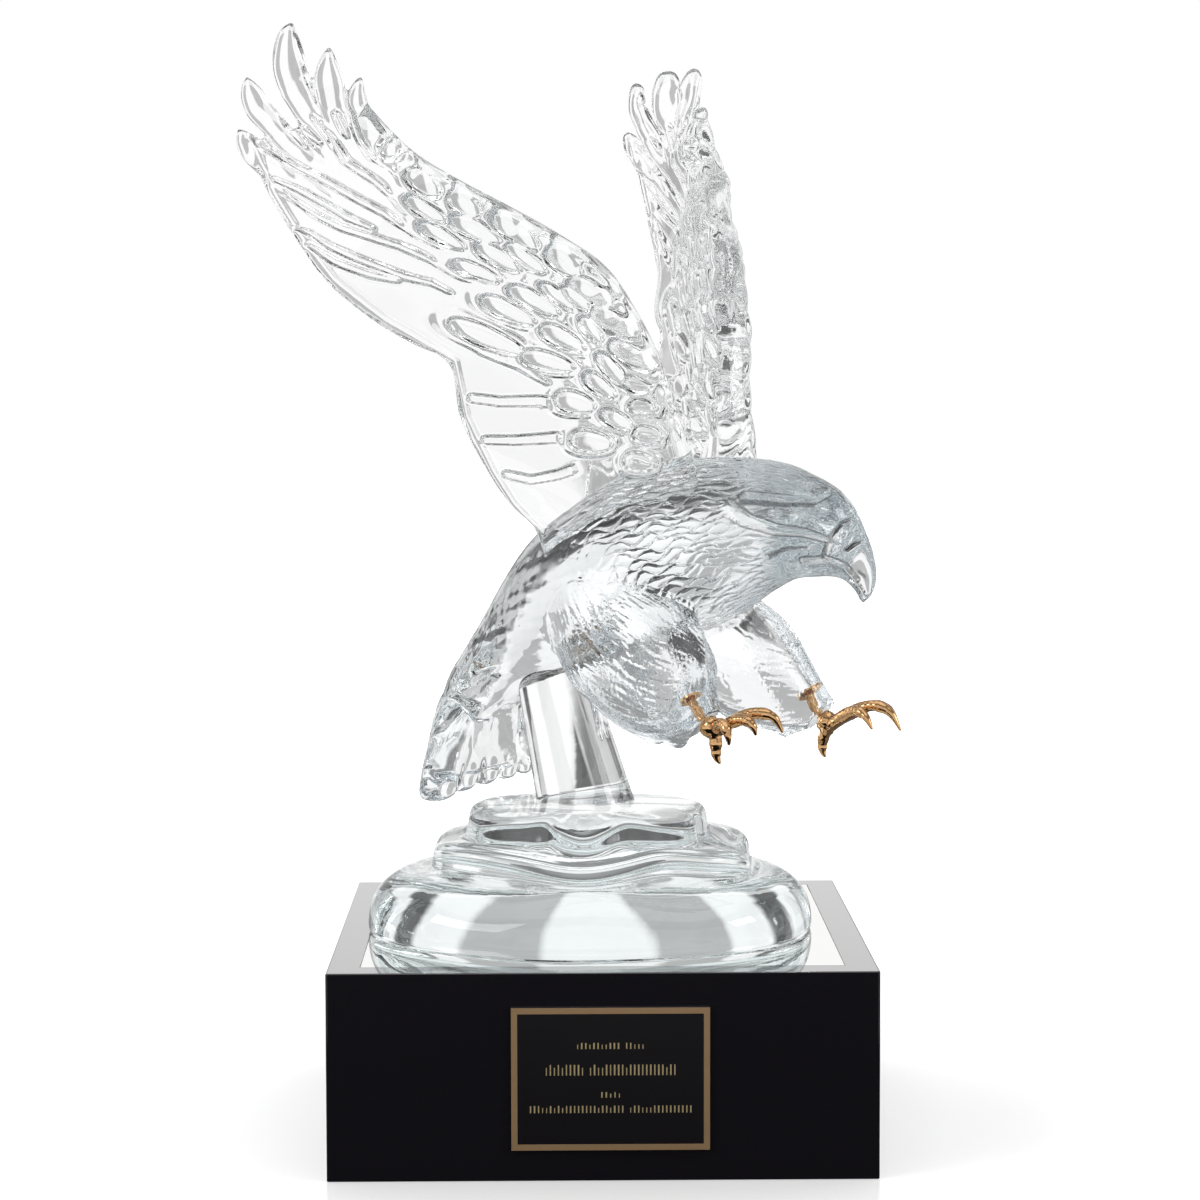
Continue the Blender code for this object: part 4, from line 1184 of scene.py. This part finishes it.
# %% The wing's plan
TRAILING_THICK = 5.0
HAND_THIN = 0.55  # how much thinner the plate is where the fingers leave it
HAND_FROM = (0.84, 1.0)
PLATE_SLOPE = ((0.12, 0.94), (0.24, 0.8), (0.48, 0.42), (0.74, 0.13))  # share of the chord, share of the rise
WING_SECTIONS = (  # leading edge (out, up), trailing edge (out, up), thickness at the leading edge
    (-4, -22, 56, -56, 21),
    (-2, -10, 62, -36, 22),
    (1, 4, 73, -24, 22),
    (7, 22, 83, -8, 21.5),
    (15, 43, 96, 18, 20.5),
    (25, 62, 101.5, 42, 19.5),
    (38, 80, 116, 51, 18.5),
    (58, 94, 130, 60, 17.5),
    (79, 106, 150, 77, 16.5),
    (100, 118, 163, 94, 15),
    (116, 128, 173, 110, 13.5),
    (127, 138, 178, 121, 12.5),
    (135, 147, 181, 130, 11.5),
)
FINGERS = {  # centre line from the tip inwards (out, up), widths along it, thickness
    "third": (((138, 157.5), (139.5, 151), (138.5, 144), (134, 134), (124, 123)), (1.5, 7, 8.5, 9, 8), 6),
    "second": (((150, 168.5), (150.5, 161), (150, 154.5), (147.5, 141), (142, 131), (131, 118)),
               (1.5, 8.5, 11.5, 11.5, 11, 9), 7),
    "first": (((164, 176), (165.5, 170), (165, 160), (163, 153), (159, 145), (152, 133), (140, 120)),
              (1.5, 9, 13.5, 14, 12, 11, 9), 7),
    "fourth": (((181.5, 154.5), (180, 149), (177, 142.5), (171, 136), (163, 128), (150, 117)),
               (1.5, 8.5, 10.5, 10.5, 10, 9), 6.5),
    "fifth": (((185, 134.5), (182, 130), (178, 125.5), (171, 120.5), (160, 112.5), (145, 102)),
              (1.5, 8.5, 10.5, 11, 10.5, 9), 6),
}


def lookup(table, x):
    """Values of a table of (x, value) rows, joined by smooth steps."""
    result = np.full(np.shape(x), float(table[-1][1]))
    for (x0, y0), (x1, y1) in reversed(list(zip(table, table[1:]))):
        result = np.where(x <= x1, y0 + (y1 - y0) * ease(x0, x1, x), result)
    return result


def wing_plate():
    rings = []
    for place in np.linspace(0, 1, 110):
        lead_out, lead_up, rear_out, rear_up, thick = through(WING_SECTIONS, place)[0]
        lead, rear = np.array([lead_out, lead_up]), np.array([rear_out, rear_up])
        chord = np.linalg.norm(rear - lead)
        thin_out = 1 - HAND_THIN * ease(*HAND_FROM, place)
        thick, thin = thick * thin_out, TRAILING_THICK * thin_out
        bevel = 0.36 * thick
        profile = [  # from the leading edge over the inner face to the rear edge, and back outside
            (0.0, 0.52 * thick), (0.5, 0.78 * thick), (2.0, 0.93 * thick), (5.0, thick),
            *((far * chord, thin + high * (thick - thin)) for far, high in PLATE_SLOPE),
            (chord - 3.0, thin), (chord - 0.7, 0.86 * thin), (chord, 0.5 * thin), (chord - 0.7, 0.14 * thin),
            (chord - 3.0, 0.0), (0.5 * chord, 0.0), (bevel, 0.0), (0.5 * bevel, 0.1 * bevel),
            (0.12 * bevel, 0.42 * bevel)]
        fine = through(profile + profile[:1], np.linspace(0, 1, 97))[:-1]
        rings.append(np.column_stack([lead + np.outer(fine[:, 0], (rear - lead) / chord), fine[:, 1]]))
    return skin(rings)


def finger(line, widths, thick):
    spots = np.linspace(0, 1, 40)
    centre = through(line, spots)
    wide = through(widths, spots)[:, 0] / 2 * np.sqrt(np.clip(spots / 0.06, 0.06, 1))
    ahead = unit(np.gradient(centre, axis=0))
    deep = thick / 2 * np.clip(np.sqrt(spots / 0.1), 0.45, 1)
    return skin([ring((out, up, thick / 2), (0, 0, high), (-b * half, a * half, 0), 24, 2.4)
                 for (out, up), half, (a, b), high in zip(centre, wide, ahead, deep)])


print("wing", len(WING_SECTIONS), "sections and", len(FINGERS), "fingers")

# %% [markdown]
# A real wing isn't flat: it bows over its length, its tip curls in, and its root hugs the flank. One function
# bends the flat plan so and stands it on the shoulder. The left wing is the right one mirrored, raised a
# little further, with its fingers trimmed to what the picture shows of them.

# %% Stand a wing on the shoulder
WING_ROOT = (-2.7, 22.0, 275.9)
WING_SWEEP = math.radians(37.0)
WING_LEAN = math.radians(15.0)
WING_BOW = (  # how far the plate bows inwards, by the distance from its root
    (0, -8), (40, 1), (85, 5), (120, 2), (165, -6), (205, 0), (240, 3),
)
WING_CURL = 11.0
CURL_OUT = (148.0, 166.0)
CURL_REACH = (190.0, 240.0)
WING_HUG = 16.0
LEFT_WING_LIFT = 0.09
LEFT_FINGER_TRIM = {"first": 12.0, "third": 7.0, "fourth": -4.0}


def wing_place(flat, mark):
    """Bend a flat wing (out, up, inwards) and stand it on the bird.

    Mark is 1 on the bird's left and -1 on its right.
    """
    out, up, inward = flat.T
    lean, sweep = WING_LEAN, WING_SWEEP
    normal = np.array([-math.sin(sweep) * math.cos(lean), math.cos(sweep) * math.cos(lean), math.sin(lean)])
    outward = unit(np.cross((0, 0, 1), normal))
    upward = np.cross(normal, outward)
    hug = WING_HUG * np.clip(out / 70, 0, 1.3) * np.clip((45 - up) / 65, 0, 1.2) ** 2
    reach = np.hypot(out, up)
    curl = WING_CURL * ease(*CURL_OUT, out) * ease(*CURL_REACH, reach)
    inward = inward + hug + lookup(WING_BOW, reach) + curl
    if mark > 0:
        c, s = math.cos(LEFT_WING_LIFT), math.sin(LEFT_WING_LIFT)
        out, up = out * c - up * s, out * s + up * c
    root = np.array(WING_ROOT) * (1, -1, 1)
    placed = root + np.outer(out, outward) + np.outer(up, upward) + np.outer(inward, normal)
    return placed * (1, -mark, 1)


print(f"wings swept {math.degrees(WING_SWEEP):.0f} and leaning {math.degrees(WING_LEAN):.0f} degrees")

# %% [markdown]
# The feathers on the inner face: rows of small round-ended coverts, each standing up most at its far end, as
# scales overlap, and long grooves between the flight feathers. Every covert has a place, a direction and a
# size of its own, read along the rows from the shoulder to the hand.

# %% Feathers of the wings
COVERTS = (  # round outer end (out, up), inner end (out, up), width
    ((129, 129), (121, 127), 9), ((120, 121), (107, 112), 10), ((105, 114), (91, 103), 10),
    ((86, 103), (66, 88), 10), ((64, 89), (47, 76), 10), ((54, 75), (33, 63), 11), ((44, 62), (23, 50), 11),
    ((36, 48), (14, 37), 11), ((121, 111), (104, 101), 8), ((104, 103), (81, 91), 10),
    ((80, 90), (62, 78), 8),
    ((57, 72), (43, 61), 7), ((48, 59), (38, 48), 7), ((41, 44), (27, 30), 8), ((116, 101), (96, 89), 7),
    ((93, 91), (73, 79), 8), ((66, 74), (50, 62), 7), ((102, 84), (81, 75), 7), ((79, 73), (56, 60), 9),
    ((65, 56), (45, 45), 9), ((46, 36), (32, 26), 8), ((39, 21), (23, 12), 8), ((90, 69), (66, 57), 9),
    ((73, 45), (49, 38), 9), ((58, 27), (40, 22), 10.5), ((51, 10), (32, 6), 11), ((30, 33), (16, 28), 8),
    ((27, 23), (13, 20), 7), ((103, 60), (70, 45), 10), ((27, 0), (12, -2), 9), ((24, 11), (10, 8), 8),
)
COVERT_RISE = 2.5
MOAT_DEEP = 1.6
MOAT_HALF = 1.2
GROOVES = (  # a line between flight feathers (out, up), from its thin end inwards
    ((169, 113), (162, 108), (154, 103), (145, 99), (135, 96), (123, 92), (111, 86), (102, 80), (94, 75)),
    ((173, 117), (162, 113), (150, 107), (143, 103), (131, 98)),
    ((166, 99), (158, 97), (150, 92), (141, 88), (129, 83), (120, 79), (110, 76), (99, 70)),
    ((160, 93), (148, 86), (135, 81), (121, 77)),
    ((185, 136), (177, 129), (170, 126), (162, 122), (150, 116), (139, 110), (129, 105), (115, 95),
     (107, 91)),
    ((180, 154), (173, 147), (166, 137), (158, 129)),
    ((171, 151), (166, 144), (163, 140), (152, 130)),
    ((156, 142), (150, 134), (143, 124), (137, 120), (132, 117), (125, 111), (117, 104)),
    ((148, 144), (145, 138), (142, 133)),
    ((144, 151), (141, 140), (137, 132), (133, 126), (125, 122), (117, 114)),
    ((103, 62), (97, 53), (89, 47), (73, 40), (58, 31)),
)
GROOVE_DEEP = 2.4
GROOVE_HALF = 2.1
QUILLS = (  # a raised rod along a feather (out, up), from its round end inwards
    ((92, 27), (80, 25), (64, 25), (56, 24)),
    ((85, 8), (73, 8), (61, 9), (52, 10)),
    ((75, -8), (65, -10), (54, -7), (45, -3)),
)
QUILL_HALF = 3.2
QUILL_RISE = 2.2
FINGER_RISE = 1.4
RIM_RISE = 1.0
RIM_IN = 2.6
RIM_HALF = 1.3
LUMPS = 15.0
LUMP_RISE = 1.5
LUMP_REACH = 15.0


def covert_edge(flat, tip, root, width):
    """How far each place is outside a covert's edge, in mm; it is blunt at the tip and tapers to its root."""
    tip, root = np.array(tip, float), np.array(root, float)
    ahead = (tip - root) / np.linalg.norm(tip - root)
    half_long = np.linalg.norm(tip - root) / 2
    away = flat - (tip + root) / 2
    x = away @ ahead / half_long
    y = away @ np.array([-ahead[1], ahead[0]]) / (width / 2 * (0.9 + 0.18 * np.clip(x, -1, 1)))
    size = (np.abs(x) ** 2.3 + np.abs(y) ** 2.0) ** (1 / 2.1)
    return (size - 1) * (width / 2), x, size


def wing_relief(flat):
    """The height of the carving on the inner face at places in the wing's plan."""
    height = np.zeros(len(flat))
    for line, widths, _ in FINGERS.values():
        miss, along = near_line(flat, line)
        half = np.interp(along, np.linspace(0, 1, len(widths)), widths) / 2
        round_top = np.sqrt(np.clip(1 - (miss / half) ** 2.4, 0, 1))
        height = np.maximum(height, FINGER_RISE * round_top * ease(1.0, 0.7, along) * ease(0.25, 0.45, along))
    for line in GROOVES:
        miss, along = near_line(flat, line)
        half = GROOVE_HALF * (0.45 + 0.55 * ease(0.0, 0.35, along)) * (1 - 0.4 * ease(0.7, 1.0, along))
        trough = 1 - ease(0.2, 1.1, miss / half)
        height -= GROOVE_DEEP * trough * ease(0.0, 0.06, along) * ease(1.0, 0.93, along)
    miss, _ = near_line(flat, [row[2:4] for row in WING_SECTIONS])
    height += RIM_RISE * np.exp(-((miss - RIM_IN) / RIM_HALF) ** 2)
    nearest = np.full(len(flat), 1e3)
    pad = np.zeros(len(flat))
    for tip, root, width in COVERTS:
        edge, x, size = covert_edge(flat, tip, root, width)
        pillow = np.clip(1 - size ** 3, 0, 1) ** 0.75 * (0.6 + 0.4 * ease(-1.0, 0.6, x))
        pad = np.maximum(pad, COVERT_RISE * pillow)
        nearest = np.minimum(nearest, np.where(x > -1.2, edge, 1e3))
    moat = MOAT_DEEP * np.exp(-((nearest - 0.9) / MOAT_HALF) ** 2) * (nearest > -0.6)
    among = 1 - ease(1.0, 4.0, nearest)
    height = height * (1 - 0.8 * among) + pad - moat * (pad < 0.3 * COVERT_RISE)
    for line in QUILLS:
        miss, along = near_line(flat, line)
        half = QUILL_HALF * (0.8 + 0.2 * along)
        rod = (1 - ease(0.45, 1.0, miss / half)) * ease(1.0, 0.85, along)
        height = height * (1 - rod) + QUILL_RISE * rod
    return height


def edge_lumps(flat):
    """Soft lumps in a row along the leading edge, each of its own size."""
    lead = np.array([row[:2] for row in WING_SECTIONS])
    miss, along = near_line(flat, lead)
    step = along * LUMPS
    number = np.floor(step)
    rise = LUMP_RISE * (0.4 + 0.6 * chance(number, number * 0 + 3, 6))
    return rise * np.sin(math.pi * (step - number)) ** 0.8 * (1 - ease(LUMP_REACH / 3, LUMP_REACH, miss))


print(len(COVERTS), "coverts,", len(GROOVES), "grooves and", len(QUILLS), "quills")

# %% [markdown]
# The wings and the post were cast apart and cemented to the trunk. Where two clear pieces overlap, the glass
# shows a muddle, so each is cut to the trunk's form by a Boolean and reaches only a third of a millimetre
# into it. That thin overlap leaves no air between them, as the cement does.

# %% Build both wings
WING_CELL = 0.68
SEAM = -0.3
TRUNK_SPACE = loft(trunk_frames(BODY_SECTIONS, 120, SEAM), 96, 2.15)


def meet_trunk(name, points, faces):
    """A mesh cut where the trunk stands, so that the two meet in a seam."""
    piece = link("piece", plain_mesh("piece", points, faces))
    outer_faces = [face[::-1] for face in TRUNK_SPACE[1]]
    cutter = link("cutter", plain_mesh("cutter", to_world(TRUNK_SPACE[0]), outer_faces))
    seam = piece.modifiers.new("seam", "BOOLEAN")
    seam.operation, seam.solver, seam.object = "DIFFERENCE", "MANIFOLD", cutter
    cut = bpy.data.meshes.new_from_object(piece.evaluated_get(bpy.context.evaluated_depsgraph_get()))
    for made in (piece, cutter):
        bpy.data.meshes.remove(made.data)
    cut.name = name
    return cut


def build_wing(name, mark, node):
    skins = [wing_plate()]
    for which, (line, widths, thick) in FINGERS.items():
        line = np.array(line, float)
        trim = LEFT_FINGER_TRIM.get(which, 0.0) if mark > 0 else 0.0
        skins.append(finger(line + unit(line[-1] - line[0]) * trim, widths, thick))
    points, faces = melt(name, skins, WING_CELL)
    inner = normals_of(points, faces)[:, 2]
    rise = wing_relief(points[:, :2]) * ease(0.1, 0.6, inner)
    points[:, 2] += rise + edge_lumps(points[:, :2]) * ease(0.15, 0.5, np.abs(inner)) * np.sign(inner)
    placed = to_world(wing_place(relax(points, faces, 2), mark))
    cut = meet_trunk(name, placed, faces[:, ::-1] if mark > 0 else faces)
    place_piece(name, cut, WING_GLASS, node)


build_wing("near_wing", -1, "right_wing")
build_wing("far_wing", 1, "left_wing")

# %% [markdown]
# The post is a plain tapered rod of glass that leans back into the belly. It is cemented at both ends, so its
# head is cut to the belly's form and its foot dips a hair into the rock, which leaves no air between them.

# %% Raise the post
POST_FOOT = (-5.5, 20.0)
POST_HEAD = (-21.5, 29.0, 196.0)
POST_RADII = (21.0, 15.5)
CEMENT = 0.25


def build_post():
    foot, head = np.array([*POST_FOOT, ROCK_TOP - CEMENT]), np.array(POST_HEAD)
    rings = []
    for f in np.linspace(0, 1, 60):
        radius = POST_RADII[0] + (POST_RADII[1] - POST_RADII[0]) * f
        rings.append(ring(foot + (head - foot) * f, (radius, 0, 0), (0, radius, 0), 96))
    cut = meet_trunk("glass_post", *skin(rings))
    place_piece("glass_post", cut, POST_GLASS, "support_post")


build_post()

# %% [markdown]
# The feet are cast metal, plated in gold and polished. Plating is plain metal with a little play of colour in
# soft clouds, and it is darker in the hollows, which is painted shade. The hollows are found by the mesh's
# own pointiness, so the painted shade follows the casting.

# %% Mix the gold
GOLD = (0.74, 0.44, 0.21, 1.0)
# the dark gold of the painted shade in the hollows, and of the clouds of tone
GOLD_SHADE_AND_TONE = (0.16, 0.06, 0.02, 1.0)
CLOUD_SHARE = 0.35


def gold_plating():
    made = finish("gold plating", (180.0, 3.0), (0.3, 0.7), (0.05, 0.12), {"Metallic": 1.0})
    tree = made.node_tree
    cloud = steps(tree, noise_level(tree, 260.0, 2.0), 0.35, 0.7)
    # painted shade: darker gold in the hollows, found by pointiness
    painted_hollow_shade = steps(tree, add(tree, "NewGeometry").outputs["Pointiness"], 0.46, 0.52, 1.0, 0.0)
    # the hollows' painted shade together with the clouds' own change of tone
    deep = maths(tree, "MAXIMUM", painted_hollow_shade, maths(tree, "MULTIPLY", cloud, CLOUD_SHARE))
    mix = add(tree, "Mix", {0: deep, 6: GOLD, 7: GOLD_SHADE_AND_TONE}, data_type="RGBA")
    feed(tree, tree.nodes["Principled BSDF"], {"Base Color": mix.outputs[2]})
    return made


PLATING = gold_plating()
print("gold mixed")

# %% [markdown]
# Under each leg a stud runs from the foot up into the glass, where its flat head holds it, and it shows
# through the glass. A toe is a rod along a curve that swells at its joints and is ringed with fine scutes,
# and its claw tapers to a point. The rods are melted together in cells of a third of a millimetre, which
# gives one clean casting.

# %% Cast the feet
RIGHT_ANKLE = (10.5, -40.0, 172.5)
LEFT_ANKLE = (24.0, 40.0, 166.0)
RIGHT_TOES = {
    "hind": (((5, -1, -3), (5.5, -1, -6.5), (5.5, -1, -10), (6, -1, -13), (7.5, -1, -15.5)),
             (6, 5.4, 4.6, 3.8, 1.2)),
    "inner": (((5, 1, -2), (12, 4, 2), (20, 6, 5), (27, 8, 3.5), (30.5, 9, -2.5)), (6, 5.4, 5.2, 4.2, 1.2)),
    "middle": (((5, 0, -2), (12, 0, 1.5), (18, -1, 3), (22.5, -2, 1), (24, -2, -3)), (6, 5.4, 5, 4, 1.2)),
    "outer": (((5, -1, -2), (8.5, -4, 1), (12, -6, 0.5), (14, -7, -3), (14.5, -7, -7)),
              (6, 5, 4.8, 3.8, 1.2)),
}
LEFT_TOES = {
    "hind": (((3, 1, -3), (1.5, 1, -6), (0.8, 1, -9.5), (1, 1, -12.5), (2.2, 1, -15)), (6, 5, 4.4, 3.6, 1.2)),
    "inner": (((3, 0, -2), (11, -1, 3), (18, -3, 6), (23.5, -5, 4), (27, -6, -1)), (6, 5.6, 5, 4, 1.2)),
    "middle": (((3, 0, -2), (13, 1, 4), (23, 2, 8), (31, 3, 5.5), (36, 3, -2)), (6, 5.8, 5, 4.2, 1.2)),
    "outer": (((3, 1, -2), (12, 3, 3.5), (20, 6, 7.5), (27.5, 9, 6.5), (32, 10, 0)), (6, 5.6, 5, 4, 1.2)),
}
KNUCKLE = ((0.3, 3.2), (1.5, 4.4), (4.5, 4.6), (7.5, 3.0))  # where toes and leg meet: along, radius
TALON_CELL = 0.33
TOE_FULL = 1.06
TOE_FLAT = 0.92
JOINTS = 3.0
JOINT_RISE = 0.07
SCUTES = 17
SCUTE_RISE = 0.05
CLAW_START = 0.66
CLAW_LOSS = 0.12
STUD_HALF = 1.5
STUD_HEAD = (3.6, 1.0)  # half width and thickness
STUD_LONG = 13.0
STUD_WAY = (-5.2, 1.4, 6.6)


def toe(line, widths, ankle):
    spots = np.linspace(0, 1, 90)
    centre = through(line, spots) + np.array(ankle)
    ahead = unit(np.gradient(centre, axis=0))
    side = unit(np.cross(ahead, (0, 1, 0)))
    up = np.cross(side, ahead)
    on_toe = 1 - ease(CLAW_START - 0.06, CLAW_START, spots)
    joints = JOINT_RISE * np.cos(spots * FULL_TURN * JOINTS) * on_toe
    scutes = SCUTE_RISE * np.abs(np.sin(spots * math.pi * SCUTES)) * on_toe
    claw = CLAW_LOSS * ease(CLAW_START, CLAW_START + 0.05, spots)
    half = through(widths, spots)[:, 0] / 2 * (TOE_FULL + joints + scutes - claw)
    return skin([ring(c, u * r, s * r * TOE_FLAT, 20) for c, u, s, r in zip(centre, up, side, half)])


def leg_end(sections):
    """The middle of a leg's cut end and the direction in which the leg runs there."""
    before, end = (np.array([front + rear, 2 * side, front_z + rear_z]) / 2
                   for side, front, front_z, rear, rear_z, _ in sections[-2:])
    return end, unit(end - before)


def turned(start, way, rows, sides=40):
    """A turned form along a line: rows of how far along it, and its radius there."""
    way = unit(np.array(way))
    across = unit(np.cross(way, (0, 1, 0)))
    deep = np.cross(way, across)
    return skin([ring(start + way * step, across * wide, deep * wide, sides) for step, wide in rows])


def build_foot(name, toes, ankle, sections, node):
    end, axis = leg_end(sections)
    skins = [turned(end, axis, through(KNUCKLE, np.linspace(0, 1, 24)))]
    skins += [toe(line, widths, ankle) for line, widths in toes.values()]
    points, faces = melt(name, skins, TALON_CELL, 2)
    place_piece(name, plain_mesh(name, to_world(points), faces), PLATING, node)
    head_half, head_thick = STUD_HEAD
    rows = [(0.6, STUD_HALF), (STUD_LONG - head_thick, STUD_HALF), (STUD_LONG - head_thick, head_half),
            (STUD_LONG, head_half), (STUD_LONG, 0.4)]
    points, faces = turned(end - axis * 0.2, STUD_WAY, rows)
    stud = plain_mesh(name + "_stud", to_world(points), faces)
    place_piece(name + "_stud", stud, PLATING)
    stud.set_sharp_from_angle(angle=math.radians(40))


build_foot("near_foot", RIGHT_TOES, RIGHT_ANKLE, RIGHT_THIGH, "right_talon")
build_foot("far_foot", LEFT_TOES, LEFT_ANKLE, LEFT_THIGH, "left_talon")

# %% [markdown]
# The plate on the front is thin brass, printed black, with a border and lines of writing left in gold. The
# writing isn't copied: rows of short strokes stand where it stood. Border and strokes are a tenth of a
# millimetre high, just enough to catch the light as real engraving does.

# %% Make the plate
PLATE_BORDER = 2.4
RAISED = 0.1
STROKE_ROWS = (  # height above the plate's lower edge, row height, left and right end, from the middle
    (41.2, 2.4, -12.8, 12.6), (31.7, 4.2, -25.0, 25.0), (21.9, 2.2, -3.4, 3.4), (16.2, 2.8, -31.2, 31.2),
)
STROKE_STEP = 1.55
WORD_GAPS = {0: (11,), 1: (10,), 3: (24,)}
STROKE_WIDTHS = (0.34, 0.26)  # the thinnest, and how much wider the widest is
SHORT_STROKE = 0.72
SHORT_SHARE = 0.35
BLACK = {"Base Color": (0.009, 0.0078, 0.0095, 1.0), "Specular IOR Level": 0.3}
BRASS = (0.42, 0.27, 0.14, 1.0)
STROKE_GOLD = (0.62, 0.5, 0.26, 1.0)


def boxes(parts):
    points, faces = [], []
    for (x0, y0, z0), (x1, y1, z1) in parts:
        start = len(points)
        points += [(x, y, z) for x in (x0, x1) for y in (y0, y1) for z in (z0, z1)]
        for quad in ((0, 1, 3, 2), (4, 6, 7, 5), (0, 4, 5, 1), (2, 3, 7, 6), (0, 2, 6, 4), (1, 5, 7, 3)):
            faces.append(tuple(start + i for i in quad))
    return points, faces


def plate_gold(name, colour):
    return finish(name, (300.0, 3.0), (0.3, 0.7), (0.35, 0.5), {"Base Color": colour, "Metallic": 0.35})


def stroke_boxes(middle, foot, front, face):
    """Rows of short strokes, each with a width and a height of its own."""
    strokes = []
    for row, (height, tall, left, right) in enumerate(STROKE_ROWS):
        count = int((right - left) / STROKE_STEP)
        for number in sorted(set(range(count + 1)) - set(WORD_GAPS.get(row, ()))):
            at = middle + left + number * (right - left) / count
            lean = chance(float(row), float(number), 2)
            long = tall if lean > SHORT_SHARE else tall * SHORT_STROKE
            half = (STROKE_WIDTHS[0] + STROKE_WIDTHS[1] * lean) / 2
            base = foot + height - tall / 2
            strokes.append(((at - half, front, base), (at + half, face, base + long)))
    return strokes


def build_plate():
    low, high = (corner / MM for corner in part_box("name_plate"))
    front, face = low.y, low.y + RAISED
    b, x0, x1, z0, z1 = PLATE_BORDER, low.x, high.x, low.z, high.z
    border = [((x0, front, z0), (x1, face, z0 + b)), ((x0, front, z1 - b), (x1, face, z1)),
              ((x0, front, z0 + b), (x0 + b, face, z1 - b)), ((x1 - b, front, z0 + b), (x1, face, z1 - b))]
    strokes = stroke_boxes((x0 + x1) / 2, z0, front, face)
    black = finish("plate black", (20.0, 1.0), (0.3, 0.7), (0.27, 0.29), BLACK)
    for name, bars, made in (("plate", [((x0, face, z0), (x1, high.y, z1))], black),
                             ("plate_border", border, plate_gold("border gold", BRASS)),
                             ("plate_strokes", strokes, plate_gold("stroke gold", STROKE_GOLD))):
        mesh = plain_mesh(name, *boxes(bars))
        place_piece(name, mesh, made, "name_plate", smooth=False)


build_plate()
